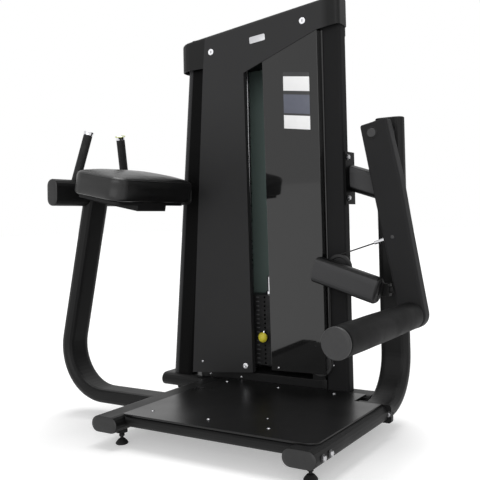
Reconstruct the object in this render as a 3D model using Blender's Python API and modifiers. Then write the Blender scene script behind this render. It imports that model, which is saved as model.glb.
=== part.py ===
"""Glute machine: a weight-stack tower, a swinging leg arm with a roller, a standing
platform and an elbow pad on a bent column. Metres, +Z up, X along the tower."""

import math

import bmesh
import bpy
from mathutils import Matrix, Vector

# Clearance between pieces that touch
GAP = 0.0003

# Flat-oval tube stock
TUBE_WIDE = 0.108
TUBE_THIN = 0.051
BEAM_WIDE = 0.098
LINK_WIDE = 0.093
LINK_THIN = 0.045
OVAL_STEPS = 8

# Base frame
RAIL_UNDERSIDE = 0.051
LEFT_RAIL_X = -0.199
RIGHT_RAIL_X = 0.520
RAIL_FRONT_Y = -0.628
FLANGE_Y = -0.118
FLANGE_THICK = 0.008
FLANGE_WIDE = 0.126
FRONT_BEAM_Y = -0.540
FRONT_BEAM_WIDE = 0.094
FRONT_BEAM_THIN = 0.040
CROSS_TUBE_LEFT_X = -0.462
CROSS_TUBE_Y = 0.012
PLATE_THICK = 0.006
PLATE_LEFT_X = -0.158
PLATE_RIGHT_X = 0.551
PLATE_FRONT_Y = -0.590
PLATE_BACK_Y = -0.032
PLATE_CORNER = 0.034
FOOT_RADIUS = 0.021
FOOT_X_LEFT = -0.184
FOOT_Y_FRONT = -0.565
FOOT_X_REAR = 0.400

# Tower
TOWER_FRONT_Y = -0.040
UPRIGHT_FRONT_Y = -0.020
UPRIGHT_WIDE = 0.106
UPRIGHT_THIN = 0.050
LEFT_UPRIGHT_X = -0.371
LEFT_UPRIGHT_LEAN = 0.0868
RIGHT_UPRIGHT_X = 0.337
RIGHT_UPRIGHT_WIDE = 0.086
RIGHT_UPRIGHT_CORNER = 0.010
UPRIGHT_TOP_Z = 1.380
RIGHT_UPRIGHT_TOP_Z = 1.435
CROSSBAR_Z = 1.352
HEADER_LEFT_X = -0.350
HEADER_RIGHT_X = 0.385
HEADER_SIDE_BACK_Y = 0.0345
HEADER_STEP_X = 0.336
HEADER_BACK_Y = 0.130
HEADER_TOP_LEFT_Z = 1.446
HEADER_TOP_SLOPE = 0.112
HEADER_LOW_LEFT_Z = 1.293
HEADER_LOW_SLOPE = 0.365
HEADER_BEND_X = 0.2965
HEADER_WALL = 0.004
HEADER_ROUND = 0.058
HEADER_RIGHT_ROUND = 0.018
SHEET = 0.004
SHIELD_LEFT_LOW_X = -0.302
SHIELD_LEFT_HIGH_X = -0.221
SHIELD_RIGHT_LOW_X = -0.013
SHIELD_RIGHT_HIGH_X = -0.027
SHIELD_LOW_Z = 0.118
SHIELD_HIGH_Z = 1.310
SHIELD_RETURN = 0.0197
PANEL_LEFT_LOW_X = 0.073
PANEL_LEFT_HIGH_X = 0.060
PANEL_RIGHT_X = 0.296
PANEL_LOW_Z = 0.158
PANEL_SEAM = 0.0015
PANEL_LIP_X = 0.312
PANEL_LIP_LOW_Z = 0.262
COVER_LEFT_X = -0.300
COVER_RIGHT_X = 0.330
COVER_BACK_Y = 0.1255
COVER_LOW_Z = 0.140

# Weight stack
STACK_X = 0.015
STACK_FRONT_Y = 0.010
STACK_DEEP = 0.084
STACK_WIDE = 0.230
PLATE_PITCH = 0.0168
STACK_LOW_Z = 0.163
PAIR_COUNT = 8
RESTING_PAIRS = 3
ROD_SPREAD = 0.098
ROD_BEHIND = 0.018
ROD_RADIUS = 0.009
ROD_BORE = 0.0105
STEM_RADIUS = 0.010
STEM_BORE = 0.0115
STEM_ABOVE = 0.075
PIN_RADIUS = 0.0042
PIN_BORE = 0.0048
KNOB_RADIUS = 0.019
BASE_TOP_Z = 0.136
BASE_LEFT_X = -0.276
BASE_RIGHT_X = 0.280
BUFFER_RADIUS = 0.020

# Pulleys and cable
CABLE_RADIUS = 0.0025
PULLEY_RADIUS = 0.047
PULLEY_GROOVE = 0.0422
PULLEY_WIDE = 0.013
PULLEY_BORE = 0.0070
AXLE_RADIUS = 0.0065
SIDE_PULLEY_X = 0.360
SIDE_PULLEY_Z = 0.547
LOW_PULLEY_Z = 0.200
TOP_PULLEY_Z = 1.236
FRONT_CABLE_Y = -0.0275
CABLE_RISE = 0.31
AXLE_HEAD = 0.0015
GROOVE_SLACK = 0.0006
FORK_CLEARANCE = 0.0011

# Right column, link and stop
COLUMN_BEND = 0.165
COLUMN_TOP_Z = 1.078
LINK_START_Z = 0.867
LINK_SLOPE = 0.320
LINK_END_X = 0.545
LINK_PLATE_THICK = 0.008
LINK_PLATE_HIGH = 0.190
STOP_LEFT_X = 0.2925
STOP_LEFT_Z = 0.5445
STOP_RIGHT_X = 0.5265
STOP_RIGHT_Z = 0.473
STOP_HIGH = 0.0915
STOP_DEEP = 0.070
STOP_ROUND = 0.026
BUMPER_RADIUS = 0.012

# Swing arm and roller
ARM_FRONT_Y = -0.040
ARM_THICK = 0.051
PIVOT_X = 0.502
PIVOT_Z = 1.016
PIVOT_RADIUS = 0.013
PIVOT_BORE = 0.0133
PIVOT_CAP_RADIUS = 0.0165
HUB_RADIUS = 0.050
ROLLER_X = 0.631
ROLLER_Z = 0.391
ROLLER_RADIUS = 0.046
ROLLER_FRONT_Y = -0.616
ROLLER_BORE = 0.0125
ROLLER_AXLE_RADIUS = 0.012
DISC_THICK = 0.008

# Left column, beam, pad and handles
LEFT_BEND_X = -0.482
LEFT_BEND = 0.175
LEFT_LEAN_DEG = 13.0
LEFT_COLUMN_Y = -0.326
BEAM_FRONT_Y = -0.529
BEAM_BACK_Y = -0.123
BEAM_X = -0.539
BEAM_Z = 0.840
PAD_TILT_DEG = 11.2
PAD_LONG = 0.238
PAD_WIDE = 0.414
PAD_THICK = 0.089
PAD_TOP_X = -0.3245
PAD_TOP_Z = 0.901
PAD_Y = -0.326
PAD_CORNER = 0.050
BRACKET_WIDE = 0.150
BRACKET_THICK = 0.022
HANDLE_RADIUS = 0.0165
HANDLE_RISE = 0.170
HANDLE_LEAN_X = 0.133
HANDLE_LEAN_Y = 0.287
HANDLE_NEAR_Y = -0.424
HANDLE_FAR_Y = -0.155
LEFT_LINK_DROP = 0.010
LEFT_LINK_WIDE = 0.080
LEFT_LINK_THIN = 0.042

X_AXIS = Vector((1, 0, 0))
Y_AXIS = Vector((0, 1, 0))
Z_AXIS = Vector((0, 0, 1))

RAIL_Z = RAIL_UNDERSIDE + TUBE_THIN / 2
RAIL_TOP = RAIL_UNDERSIDE + TUBE_THIN
PLATE_TOP = RAIL_TOP + PLATE_THICK
UPRIGHT_Y = UPRIGHT_FRONT_Y + UPRIGHT_THIN / 2
COLUMN_Y = FLANGE_Y + 0.039 + COLUMN_BEND
COLUMN_FRONT_Y = COLUMN_Y - TUBE_THIN / 2
ARM_BACK_Y = ARM_FRONT_Y + ARM_THICK
STACK_Y = STACK_FRONT_Y + STACK_DEEP / 2
ROD_Y = STACK_Y + ROD_BEHIND
PAIR_HIGH = 2 * PLATE_PITCH


def clear_scene():
    """Remove what the file opened with."""
    for thing in list(bpy.data.objects):
        bpy.data.objects.remove(thing, do_unlink=True)


def collection(name):
    group = bpy.data.collections.new(name)
    bpy.context.scene.collection.children.link(group)
    return group


clear_scene()
PARTS = collection("glute_machine")
CUTTERS = collection("cutters")


def material(name, colour, roughness, metallic=0.0):
    made = bpy.data.materials.new(name)
    made.use_nodes = True
    shader = made.node_tree.nodes["Principled BSDF"]
    shader.inputs["Base Color"].default_value = (*colour, 1.0)
    shader.inputs["Roughness"].default_value = roughness
    shader.inputs["Metallic"].default_value = metallic
    return made


BLACK_COAT = material("black_coat", (0.022, 0.022, 0.024), 0.45)
GREY_COAT = material("grey_coat", (0.045, 0.045, 0.047), 0.40)
SMOKED = material("smoked_panel", (0.050, 0.050, 0.050), 0.12)
CHROME = material("chrome", (0.75, 0.75, 0.76), 0.12, 1.0)
IRON = material("cast_iron", (0.030, 0.030, 0.032), 0.55, 0.3)
RUBBER = material("rubber", (0.012, 0.012, 0.012), 0.80)
LEATHER = material("pad_leather", (0.060, 0.060, 0.060), 0.45)
YELLOW = material("knob_yellow", (0.72, 0.62, 0.03), 0.35)
NYLON = material("pulley_nylon", (0.020, 0.020, 0.020), 0.50)
STEEL = material("bright_steel", (0.45, 0.45, 0.46), 0.30, 1.0)


def as_object(name, bm, paint, cutter=False):
    """Turn a bmesh into a named object in its collection."""
    bmesh.ops.recalc_face_normals(bm, faces=bm.faces)
    mesh = bpy.data.meshes.new(name)
    bm.to_mesh(mesh)
    bm.free()
    mesh.shade_smooth()
    mesh.set_sharp_from_angle(angle=math.radians(35))
    made = bpy.data.objects.new(name, mesh)
    if cutter:
        made.hide_render = True
        made.display_type = "WIRE"
        CUTTERS.objects.link(made)
    else:
        mesh.materials.append(paint)
        PARTS.objects.link(made)
    return made


def rounded_edges(piece, width, segments=3, angle=40):
    edge = piece.modifiers.new("rounded_edges", "BEVEL")
    edge.width = width
    edge.segments = segments
    edge.limit_method = "ANGLE"
    edge.angle_limit = math.radians(angle)
    return piece


def combine(piece, other, operation="DIFFERENCE"):
    """Cut a piece by a cutter, or weld the cutter's shape onto it."""
    change = piece.modifiers.new(operation.lower(), "BOOLEAN")
    change.operation = operation
    change.solver = "EXACT"
    change.object = other
    return piece


def arc(centre, radius, start_deg, end_deg, steps):
    """Points on an arc, both ends included."""
    points = []
    for i in range(steps + 1):
        angle = math.radians(start_deg + (end_deg - start_deg) * i / steps)
        points.append((centre[0] + radius * math.cos(angle), centre[1] + radius * math.sin(angle)))
    return points


def rounded_box_section(wide, thin, radius, steps):
    """A rectangle with round corners, as (across, through) points."""
    x = wide / 2 - radius
    y = thin / 2 - radius
    points = []
    for turn, (cx, cy) in enumerate(((x, y), (-x, y), (-x, -y), (x, -y))):
        points += arc((cx, cy), radius, 90 * turn, 90 * turn + 90, steps)
    return points


def oval_section(wide, thin, grow=0.0):
    """A flat oval: two straight sides and two half-round ends."""
    radius = thin / 2 + grow
    reach = wide / 2 - thin / 2
    right = arc((reach, 0), radius, -90, 90, OVAL_STEPS)
    left = arc((-reach, 0), radius, 90, 270, OVAL_STEPS)
    return right + left


def sweep(name, section, start, heading, across, runs, paint, cutter=False):
    """Extrude a section along straight runs and bends. A run is ("straight", length) or
    ("bend", toward, radius, degrees, steps)."""
    heading = Vector(heading).normalized()
    across = Vector(across).normalized()
    through = heading.cross(across)
    centre = Vector(start)
    bm = bmesh.new()
    ring = [bm.verts.new(centre + across * u + through * v) for u, v in section]
    face = bm.faces.new(ring)
    first = face
    for run in runs:
        if run[0] == "straight":
            moves = [Matrix.Translation(heading * run[1])]
        else:
            toward, radius, degrees, steps = run[1:]
            hub = centre + Vector(toward).normalized() * radius
            axis = heading.cross(Vector(toward))
            turn = Matrix.Rotation(math.radians(degrees) / steps, 4, axis)
            moves = [Matrix.Translation(hub) @ turn @ Matrix.Translation(-hub)] * steps
        for move in moves:
            grown = bmesh.ops.extrude_face_region(bm, geom=[face])["geom"]
            if face is not first:
                bmesh.ops.delete(bm, geom=[face], context="FACES_ONLY")
            face = next(g for g in grown if isinstance(g, bmesh.types.BMFace))
            bmesh.ops.transform(bm, matrix=move, verts=face.verts)
            centre = move @ centre
            heading = move.to_3x3() @ heading
    return as_object(name, bm, paint, cutter)


def oval_tube(name, start, heading, across, runs, paint, wide=TUBE_WIDE, thin=TUBE_THIN):
    return sweep(name, oval_section(wide, thin), start, heading, across, runs, paint)


def oval_cutter(name, start, heading, across, runs, wide=TUBE_WIDE, thin=TUBE_THIN, grow=GAP):
    section = oval_section(wide, thin, grow)
    return sweep(name, section, start, heading, across, runs, None, cutter=True)


def slab(name, outline, y_near, y_far, paint, cutter=False):
    """An X-Z outline with a thickness along Y."""
    bm = bmesh.new()
    face = bm.faces.new([bm.verts.new((x, y_near, z)) for x, z in outline])
    grown = bmesh.ops.extrude_face_region(bm, geom=[face])["geom"]
    verts = [g for g in grown if isinstance(g, bmesh.types.BMVert)]
    bmesh.ops.translate(bm, vec=(0, y_far - y_near, 0), verts=verts)
    return as_object(name, bm, paint, cutter)


def floor_plate(name, outline, z_low, z_high, paint, cutter=False):
    """An X-Y outline with a thickness along Z."""
    bm = bmesh.new()
    face = bm.faces.new([bm.verts.new((x, y, z_low)) for x, y in outline])
    grown = bmesh.ops.extrude_face_region(bm, geom=[face])["geom"]
    verts = [g for g in grown if isinstance(g, bmesh.types.BMVert)]
    bmesh.ops.translate(bm, vec=(0, 0, z_high - z_low), verts=verts)
    return as_object(name, bm, paint, cutter)


def box(name, low, high, paint, cutter=False):
    low = Vector(low)
    high = Vector(high)
    bm = bmesh.new()
    size = high - low
    place = Matrix.Translation((low + high) / 2) @ Matrix.Diagonal((*size, 1))
    bmesh.ops.create_cube(bm, size=1, matrix=place)
    return as_object(name, bm, paint, cutter)


def rod(name, start, end, radius, paint, sides=32, cutter=False):
    """A round bar between two points."""
    start = Vector(start)
    end = Vector(end)
    bm = bmesh.new()
    turn = Z_AXIS.rotation_difference(end - start).to_matrix().to_4x4()
    place = Matrix.Translation((start + end) / 2) @ turn
    bmesh.ops.create_cone(
        bm, cap_ends=True, segments=sides, radius1=radius, radius2=radius,
        depth=(end - start).length, matrix=place,
    )
    return as_object(name, bm, paint, cutter)


def turned(name, profile, start, axis, paint, steps=40):
    """A turned piece: (radius, height) points spun about an axis from a start point.
    A profile that begins and ends at radius 0 is solid, otherwise it closes on itself."""
    solid = profile[0][0] == 0
    bm = bmesh.new()
    verts = [bm.verts.new((r, 0, h)) for r, h in profile]
    edges = [bm.edges.new(pair) for pair in zip(verts, verts[1:])]
    if not solid:
        edges.append(bm.edges.new((verts[-1], verts[0])))
    bmesh.ops.spin(
        bm, geom=verts + edges, cent=(0, 0, 0), axis=(0, 0, 1),
        angle=math.tau, steps=steps, use_merge=True,
    )
    bmesh.ops.remove_doubles(bm, verts=bm.verts, dist=0.00001)
    turn = Z_AXIS.rotation_difference(Vector(axis)).to_matrix().to_4x4()
    bmesh.ops.transform(bm, matrix=Matrix.Translation(start) @ turn, verts=bm.verts)
    return as_object(name, bm, paint)


def route(name, points, radius, paint):
    """A cable along a list of points, with flat ends."""
    curve = bpy.data.curves.new(name, "CURVE")
    curve.dimensions = "3D"
    curve.bevel_depth = radius
    curve.bevel_resolution = 1
    curve.use_fill_caps = True
    spline = curve.splines.new("POLY")
    spline.points.add(len(points) - 1)
    for point, place in zip(spline.points, points):
        point.co = (*place, 1)
    curve.materials.append(paint)
    made = bpy.data.objects.new(name, curve)
    PARTS.objects.link(made)
    return made


# Driving shapes that several pieces share

def left_rail_runs(front=RAIL_FRONT_Y):
    return (LEFT_RAIL_X, front, RAIL_Z), Y_AXIS, X_AXIS, [("straight", CROSS_TUBE_Y - front)]


def right_rail_runs():
    length = FLANGE_Y - FLANGE_THICK / 2 - RAIL_FRONT_Y
    return (RIGHT_RAIL_X, RAIL_FRONT_Y, RAIL_Z), Y_AXIS, X_AXIS, [("straight", length)]


def cross_tube_runs():
    length = RIGHT_RAIL_X - TUBE_WIDE / 2 - GAP - CROSS_TUBE_LEFT_X
    return (CROSS_TUBE_LEFT_X, CROSS_TUBE_Y, RAIL_Z), X_AXIS, Y_AXIS, [("straight", length)]


def right_column_runs():
    start_y = FLANGE_Y + GAP + FLANGE_THICK / 2
    straight = COLUMN_Y - COLUMN_BEND - start_y
    rise = COLUMN_TOP_Z - RAIL_Z - COLUMN_BEND
    runs = [("straight", straight), ("bend", Z_AXIS, COLUMN_BEND, 90, 14), ("straight", rise)]
    return (RIGHT_RAIL_X, start_y, RAIL_Z), Y_AXIS, X_AXIS, runs


def elbow_beam_runs():
    length = BEAM_BACK_Y - BEAM_FRONT_Y
    return (BEAM_X, BEAM_FRONT_Y, BEAM_Z), Y_AXIS, Z_AXIS, [("straight", length)]


def flange(name, y_near):
    outline = rounded_box_section(FLANGE_WIDE, 0.060, 0.010, 3)
    placed = [(RIGHT_RAIL_X + x, RAIL_Z + z) for x, z in outline]
    return slab(name, placed, y_near, y_near + FLANGE_THICK, None, cutter=True)


def base_frame():
    left = oval_tube("left_rail", *left_rail_runs(), BLACK_COAT)
    cross_cutter = oval_cutter("cross_tube_cut", *cross_tube_runs())
    combine(left, cross_cutter)
    right = oval_tube("right_rail", *right_rail_runs(), BLACK_COAT)
    combine(right, flange("rail_flange", FLANGE_Y - FLANGE_THICK), "UNION")
    oval_tube("cross_tube", *cross_tube_runs(), BLACK_COAT)
    beam_z = RAIL_TOP - FRONT_BEAM_THIN / 2
    beam = oval_tube(
        "front_beam", (LEFT_RAIL_X, FRONT_BEAM_Y, beam_z), X_AXIS, Y_AXIS,
        [("straight", RIGHT_RAIL_X - LEFT_RAIL_X)], BLACK_COAT, FRONT_BEAM_WIDE, FRONT_BEAM_THIN,
    )
    combine(beam, oval_cutter("left_rail_cut", *left_rail_runs(RAIL_FRONT_Y - GAP)))
    combine(beam, oval_cutter("right_rail_cut", *right_rail_runs()))


def platform():
    """Standing plate with a cut-out where the right column's foot rises."""
    inner = RIGHT_RAIL_X - FLANGE_WIDE / 2 - 0.004
    step_y = FLANGE_Y - FLANGE_THICK - 0.004
    r = PLATE_CORNER
    outline = arc((PLATE_LEFT_X + 0.012, PLATE_FRONT_Y + 0.012), 0.012, 180, 270, 4)
    outline += arc((PLATE_RIGHT_X - r, PLATE_FRONT_Y + r), r, 270, 360, 8)
    outline += [(PLATE_RIGHT_X, step_y), (inner, step_y)]
    outline += [(inner, PLATE_BACK_Y), (PLATE_LEFT_X, PLATE_BACK_Y)]
    plate = floor_plate("platform_plate", outline, RAIL_TOP + GAP, PLATE_TOP, BLACK_COAT)
    rounded_edges(plate, 0.0012, 2)


def foot(name, x, y):
    """Levelling foot: a rubber cone, a threaded spindle, a lock nut and a boss."""
    top = RAIL_UNDERSIDE - GAP
    profile = [
        (0, 0), (FOOT_RADIUS - 0.003, 0), (FOOT_RADIUS, 0.003), (FOOT_RADIUS - 0.002, 0.008),
        (0.011, 0.017), (0.0055, 0.020), (0.0055, 0.026), (0.009, 0.0265), (0.009, 0.0325),
        (0.0055, 0.033), (0.0055, 0.0385), (0.019, 0.039), (0.019, top), (0, top),
    ]
    turned(name, profile, (x, y, 0), Z_AXIS, RUBBER, 20)


def feet():
    foot("foot_front_left", FOOT_X_LEFT, FOOT_Y_FRONT)
    foot("foot_front_right", RIGHT_RAIL_X, FOOT_Y_FRONT)
    foot("foot_rear_left", -FOOT_X_REAR, CROSS_TUBE_Y)
    foot("foot_rear_right", FOOT_X_REAR, CROSS_TUBE_Y)


def left_upright_x(z):
    """Middle of the leaning left upright at a height."""
    return LEFT_UPRIGHT_X + LEFT_UPRIGHT_LEAN * (z - RAIL_TOP)


def upright(name, x, lean, section, top_z, paint):
    """Tube upright: the section stays level while it leans."""
    rise = top_z - RAIL_TOP - GAP
    bm = bmesh.new()
    face = bm.faces.new([bm.verts.new((x + u, UPRIGHT_Y + v, RAIL_TOP + GAP)) for u, v in section])
    grown = bmesh.ops.extrude_face_region(bm, geom=[face])["geom"]
    verts = [g for g in grown if isinstance(g, bmesh.types.BMVert)]
    bmesh.ops.translate(bm, vec=(lean * rise, 0, rise), verts=verts)
    return as_object(name, bm, paint)


def uprights():
    oval = oval_section(UPRIGHT_WIDE, UPRIGHT_THIN)
    upright("left_upright", LEFT_UPRIGHT_X, LEFT_UPRIGHT_LEAN, oval, UPRIGHT_TOP_Z, BLACK_COAT)
    square = rounded_box_section(RIGHT_UPRIGHT_WIDE, UPRIGHT_THIN, RIGHT_UPRIGHT_CORNER, 4)
    upright("right_upright", RIGHT_UPRIGHT_X, 0, square, RIGHT_UPRIGHT_TOP_Z, BLACK_COAT)


def crossbar():
    """Square bar between the uprights, with the plate that holds rods and pulleys."""
    left = left_upright_x(CROSSBAR_Z) + UPRIGHT_WIDE / 2
    right = RIGHT_UPRIGHT_X - RIGHT_UPRIGHT_WIDE / 2
    half = 0.020
    bar = box(
        "top_crossbar", (left + GAP + 0.002, UPRIGHT_Y - half, CROSSBAR_Z - half),
        (right - GAP, UPRIGHT_Y + half, CROSSBAR_Z + half), BLACK_COAT,
    )
    plate = box(
        "rod_plate", (STACK_X - ROD_SPREAD - 0.022, -0.012, CROSSBAR_Z - half - 0.008),
        (0.268, STACK_Y + 0.030, CROSSBAR_Z - half + 0.001), None, cutter=True,
    )
    combine(bar, plate, "UNION")


def header_low_z(x):
    """Lower edge: steep over the panel, then level with the top edge over the upright."""
    bend = min(x, HEADER_BEND_X)
    return HEADER_LOW_LEFT_Z + HEADER_LOW_SLOPE * (bend - SHIELD_RIGHT_HIGH_X) + HEADER_TOP_SLOPE * (x - bend)


def header_top_z(x):
    return HEADER_TOP_LEFT_Z + HEADER_TOP_SLOPE * (x - HEADER_LEFT_X)


def header_plan(inset, steps):
    """Plan outline: round left end, front, right end round the upright, and the step behind it."""
    left = HEADER_LEFT_X + inset
    right = HEADER_RIGHT_X - inset
    front = TOWER_FRONT_Y + inset
    back = HEADER_BACK_Y - inset
    side_back = HEADER_SIDE_BACK_Y - inset
    step = HEADER_STEP_X - inset
    wide = HEADER_ROUND - inset
    tight = HEADER_RIGHT_ROUND - inset
    path = [(left, back)]
    path += arc((left + wide, front + wide), wide, 180, 270, steps)
    path += arc((right - tight, front + tight), tight, 270, 360, steps)
    path += [(right, side_back), (step, side_back), (step, back)]
    return path


def header_shell(name, inset, paint, cutter=False):
    """Closed solid of the header's outer or inner space, with its slanted top and lower edge."""
    path = header_plan(inset, 6)
    bm = bmesh.new()
    low = 0.9 if inset else 1.0
    lower = [bm.verts.new((x, y, low)) for x, y in path]
    upper = [bm.verts.new((x, y, header_top_z(x) - inset)) for x, y in path]
    bm.faces.new(lower)
    bm.faces.new(upper)
    for i in range(len(path)):
        j = (i + 1) % len(path)
        bm.faces.new((lower[i], lower[j], upper[j], upper[i]))
    return as_object(name, bm, paint, cutter)


def header_cover():
    """Header hood and left shield, moulded in one as an upside-down L."""
    hood = header_shell("header_cover", 0.0, GREY_COAT)
    rounded_edges(hood, 0.012, 3, 60)
    side = 1.335
    far = 2.0
    left_step = SHIELD_LEFT_HIGH_X + 0.001
    below = [
        (-far, 0.5), (far, 0.5), (far, header_low_z(far)), (HEADER_BEND_X, header_low_z(HEADER_BEND_X)),
        (SHIELD_RIGHT_HIGH_X, HEADER_LOW_LEFT_Z), (left_step, HEADER_LOW_LEFT_Z),
        (left_step, side), (-far, side),
    ]
    combine(hood, slab("header_trim", below, -0.5, 0.5, None, cutter=True))
    combine(hood, header_shell("header_hollow", HEADER_WALL, None, cutter=True))
    shield = [
        (SHIELD_LEFT_LOW_X, SHIELD_LOW_Z), (SHIELD_RIGHT_LOW_X, SHIELD_LOW_Z + 0.024),
        (SHIELD_RIGHT_HIGH_X, SHIELD_HIGH_Z), (SHIELD_LEFT_HIGH_X, SHIELD_HIGH_Z + 0.022),
    ]
    skin = slab("shield_skin", shield, TOWER_FRONT_Y, TOWER_FRONT_Y + SHIELD_RETURN, None, cutter=True)
    combine(hood, skin, "UNION")
    tops = (("left", left_upright_x(UPRIGHT_TOP_Z), UPRIGHT_TOP_Z), ("right", RIGHT_UPRIGHT_X, RIGHT_UPRIGHT_TOP_Z))
    for name, x, top_z in tops:
        rib = box(
            "header_rib_" + name, (x - 0.012, TOWER_FRONT_Y + 0.002, top_z + GAP),
            (x + 0.012, UPRIGHT_FRONT_Y + UPRIGHT_THIN, header_top_z(x - 0.012) - 0.001), None, cutter=True,
        )
        combine(hood, rib, "UNION")
    hollow = [
        (SHIELD_LEFT_LOW_X + SHEET, SHIELD_LOW_Z + SHEET),
        (SHIELD_RIGHT_LOW_X - SHEET, SHIELD_LOW_Z + 0.024 + SHEET),
        (SHIELD_RIGHT_HIGH_X - SHEET, SHIELD_HIGH_Z + 0.035),
        (SHIELD_LEFT_HIGH_X + SHEET, SHIELD_HIGH_Z + 0.035),
    ]
    combine(hood, slab("shield_hollow", hollow, TOWER_FRONT_Y + SHEET, 0.02, None, cutter=True))


def right_panel():
    """Smoked panel whose top edge follows the header's slanted lower edge."""
    top = PANEL_SEAM
    outline = [
        (PANEL_LEFT_LOW_X, PANEL_LOW_Z), (PANEL_RIGHT_X + 0.004, PANEL_LOW_Z + 0.004),
        (PANEL_RIGHT_X, header_low_z(PANEL_RIGHT_X) - top),
        (PANEL_LEFT_HIGH_X, header_low_z(PANEL_LEFT_HIGH_X) - top),
    ]
    panel = slab("right_panel", outline, TOWER_FRONT_Y, TOWER_FRONT_Y + SHEET, SMOKED)
    rounded_edges(panel, 0.001, 2)
    lip_back = UPRIGHT_FRONT_Y - GAP
    angle = [
        (PANEL_RIGHT_X - SHEET, TOWER_FRONT_Y + SHEET / 2), (PANEL_RIGHT_X - SHEET, lip_back),
        (PANEL_LIP_X, lip_back), (PANEL_LIP_X, lip_back - SHEET),
        (PANEL_RIGHT_X, lip_back - SHEET), (PANEL_RIGHT_X, TOWER_FRONT_Y + SHEET / 2),
    ]
    lip = floor_plate("panel_lip", angle, PANEL_LIP_LOW_Z, header_low_z(PANEL_RIGHT_X) - top, None, cutter=True)
    combine(panel, lip, "UNION")


def rear_cover():
    """Folded sheet that closes the back of the tower and reaches up inside the header."""
    front = UPRIGHT_FRONT_Y + UPRIGHT_THIN + GAP
    top = header_top_z(HEADER_RIGHT_X)
    shell = box(
        "rear_cover", (COVER_LEFT_X, front, COVER_LOW_Z), (COVER_RIGHT_X, COVER_BACK_Y, top), GREY_COAT,
    )
    rounded_edges(shell, 0.012, 3)
    hollow = box(
        "rear_cover_hollow", (COVER_LEFT_X + SHEET, front - 0.05, COVER_LOW_Z - 0.05),
        (COVER_RIGHT_X - SHEET, COVER_BACK_Y - SHEET, top + 0.05), None, cutter=True,
    )
    combine(shell, hollow)
    below = HEADER_WALL + 0.001
    above = [
        (HEADER_LEFT_X, header_top_z(HEADER_LEFT_X) - below),
        (HEADER_RIGHT_X, header_top_z(HEADER_RIGHT_X) - below), (HEADER_RIGHT_X, 2), (HEADER_LEFT_X, 2),
    ]
    combine(shell, slab("rear_cover_trim", above, -0.5, 0.5, None, cutter=True))
    edge = SHEET + 0.010
    square = box(
        "rear_cover_foot", (COVER_LEFT_X - 0.05, front - 0.05, COVER_LOW_Z - 0.05),
        (COVER_RIGHT_X + 0.05, COVER_BACK_Y + 0.05, COVER_LOW_Z + edge), None, cutter=True,
    )
    combine(shell, square)


def stack_base():
    """Folded channel on the cross tube that carries the stack."""
    front = UPRIGHT_FRONT_Y + 0.001
    back = COVER_BACK_Y - SHEET - 0.004
    base = box(
        "stack_base", (BASE_LEFT_X, front, RAIL_TOP + GAP),
        (BASE_RIGHT_X, back, BASE_TOP_Z), BLACK_COAT,
    )
    rounded_edges(base, 0.003, 2)
    hollow = box(
        "stack_base_hollow", (BASE_LEFT_X - 0.01, front + SHEET, RAIL_TOP - 0.01),
        (BASE_RIGHT_X + 0.01, back - SHEET, BASE_TOP_Z - SHEET), None, cutter=True,
    )
    combine(base, hollow)


def rod_places():
    return (("left", STACK_X - ROD_SPREAD), ("right", STACK_X + ROD_SPREAD))


def guide_rods():
    top = CROSSBAR_Z - 0.020 - 0.008 - GAP
    for side, x in rod_places():
        rod("guide_rod_" + side, (x, ROD_Y, BASE_TOP_Z + GAP), (x, ROD_Y, top), ROD_RADIUS, CHROME, 24)
        inner = ROD_BORE
        high = STACK_LOW_Z - GAP - BASE_TOP_Z - GAP
        profile = [
            (inner, 0), (BUFFER_RADIUS, 0), (BUFFER_RADIUS, high - 0.003),
            (BUFFER_RADIUS - 0.003, high), (inner, high),
        ]
        turned("buffer_" + side, profile, (x, ROD_Y, BASE_TOP_Z + GAP), Z_AXIS, RUBBER, 24)


def weight_pair_outline():
    """Half plates with their rounded ends, seen from above."""
    section = rounded_box_section(STACK_WIDE, STACK_DEEP, 0.006, 2)
    return [(STACK_X + x, STACK_Y + y) for x, y in section]


def weight_pair(index):
    """Two plates as one solid, with the groove between them, rod bores and pin holes."""
    low = STACK_LOW_Z + index * PAIR_HIGH
    outline = weight_pair_outline()
    pair = floor_plate("weight_pair_%d" % (index + 1), outline, low, low + PAIR_HIGH - GAP, IRON)
    mid = low + PLATE_PITCH
    groove = 0.0012
    ring = box(
        "groove_%d" % index, (STACK_X - STACK_WIDE, STACK_Y - STACK_DEEP, mid - groove),
        (STACK_X + STACK_WIDE, STACK_Y + STACK_DEEP, mid + groove), None, cutter=True,
    )
    core = box(
        "groove_core_%d" % index,
        (STACK_X - STACK_WIDE / 2 + 0.002, STACK_Y - STACK_DEEP / 2 + 0.002, mid - 0.01),
        (STACK_X + STACK_WIDE / 2 - 0.002, STACK_Y + STACK_DEEP / 2 - 0.002, mid + 0.01),
        None, cutter=True,
    )
    combine(ring, core)
    combine(pair, ring)
    bores = [(STACK_X, STACK_Y, STEM_BORE)] + [(x, ROD_Y, ROD_BORE) for side, x in rod_places()]
    for number, (x, y, radius) in enumerate(bores):
        bore = rod(
            "bore_%d_%d" % (index, number), (x, y, low - 0.01),
            (x, y, low + PAIR_HIGH + 0.01), radius, None, 16, cutter=True,
        )
        combine(pair, bore)
    for layer in (0, 1):
        z = low + (layer + 0.5) * PLATE_PITCH
        hole = rod(
            "pin_hole_%d_%d" % (index, layer), (STACK_X, STACK_FRONT_Y - 0.01, z),
            (STACK_X, STACK_Y, z), PIN_BORE, None, 8, cutter=True,
        )
        combine(pair, hole)


def pin_z():
    """The pin sits in the lowest plate that is lifted."""
    return STACK_LOW_Z + RESTING_PAIRS * PAIR_HIGH + PLATE_PITCH / 2


def stack_top_z():
    return STACK_LOW_Z + PAIR_COUNT * PAIR_HIGH


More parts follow.
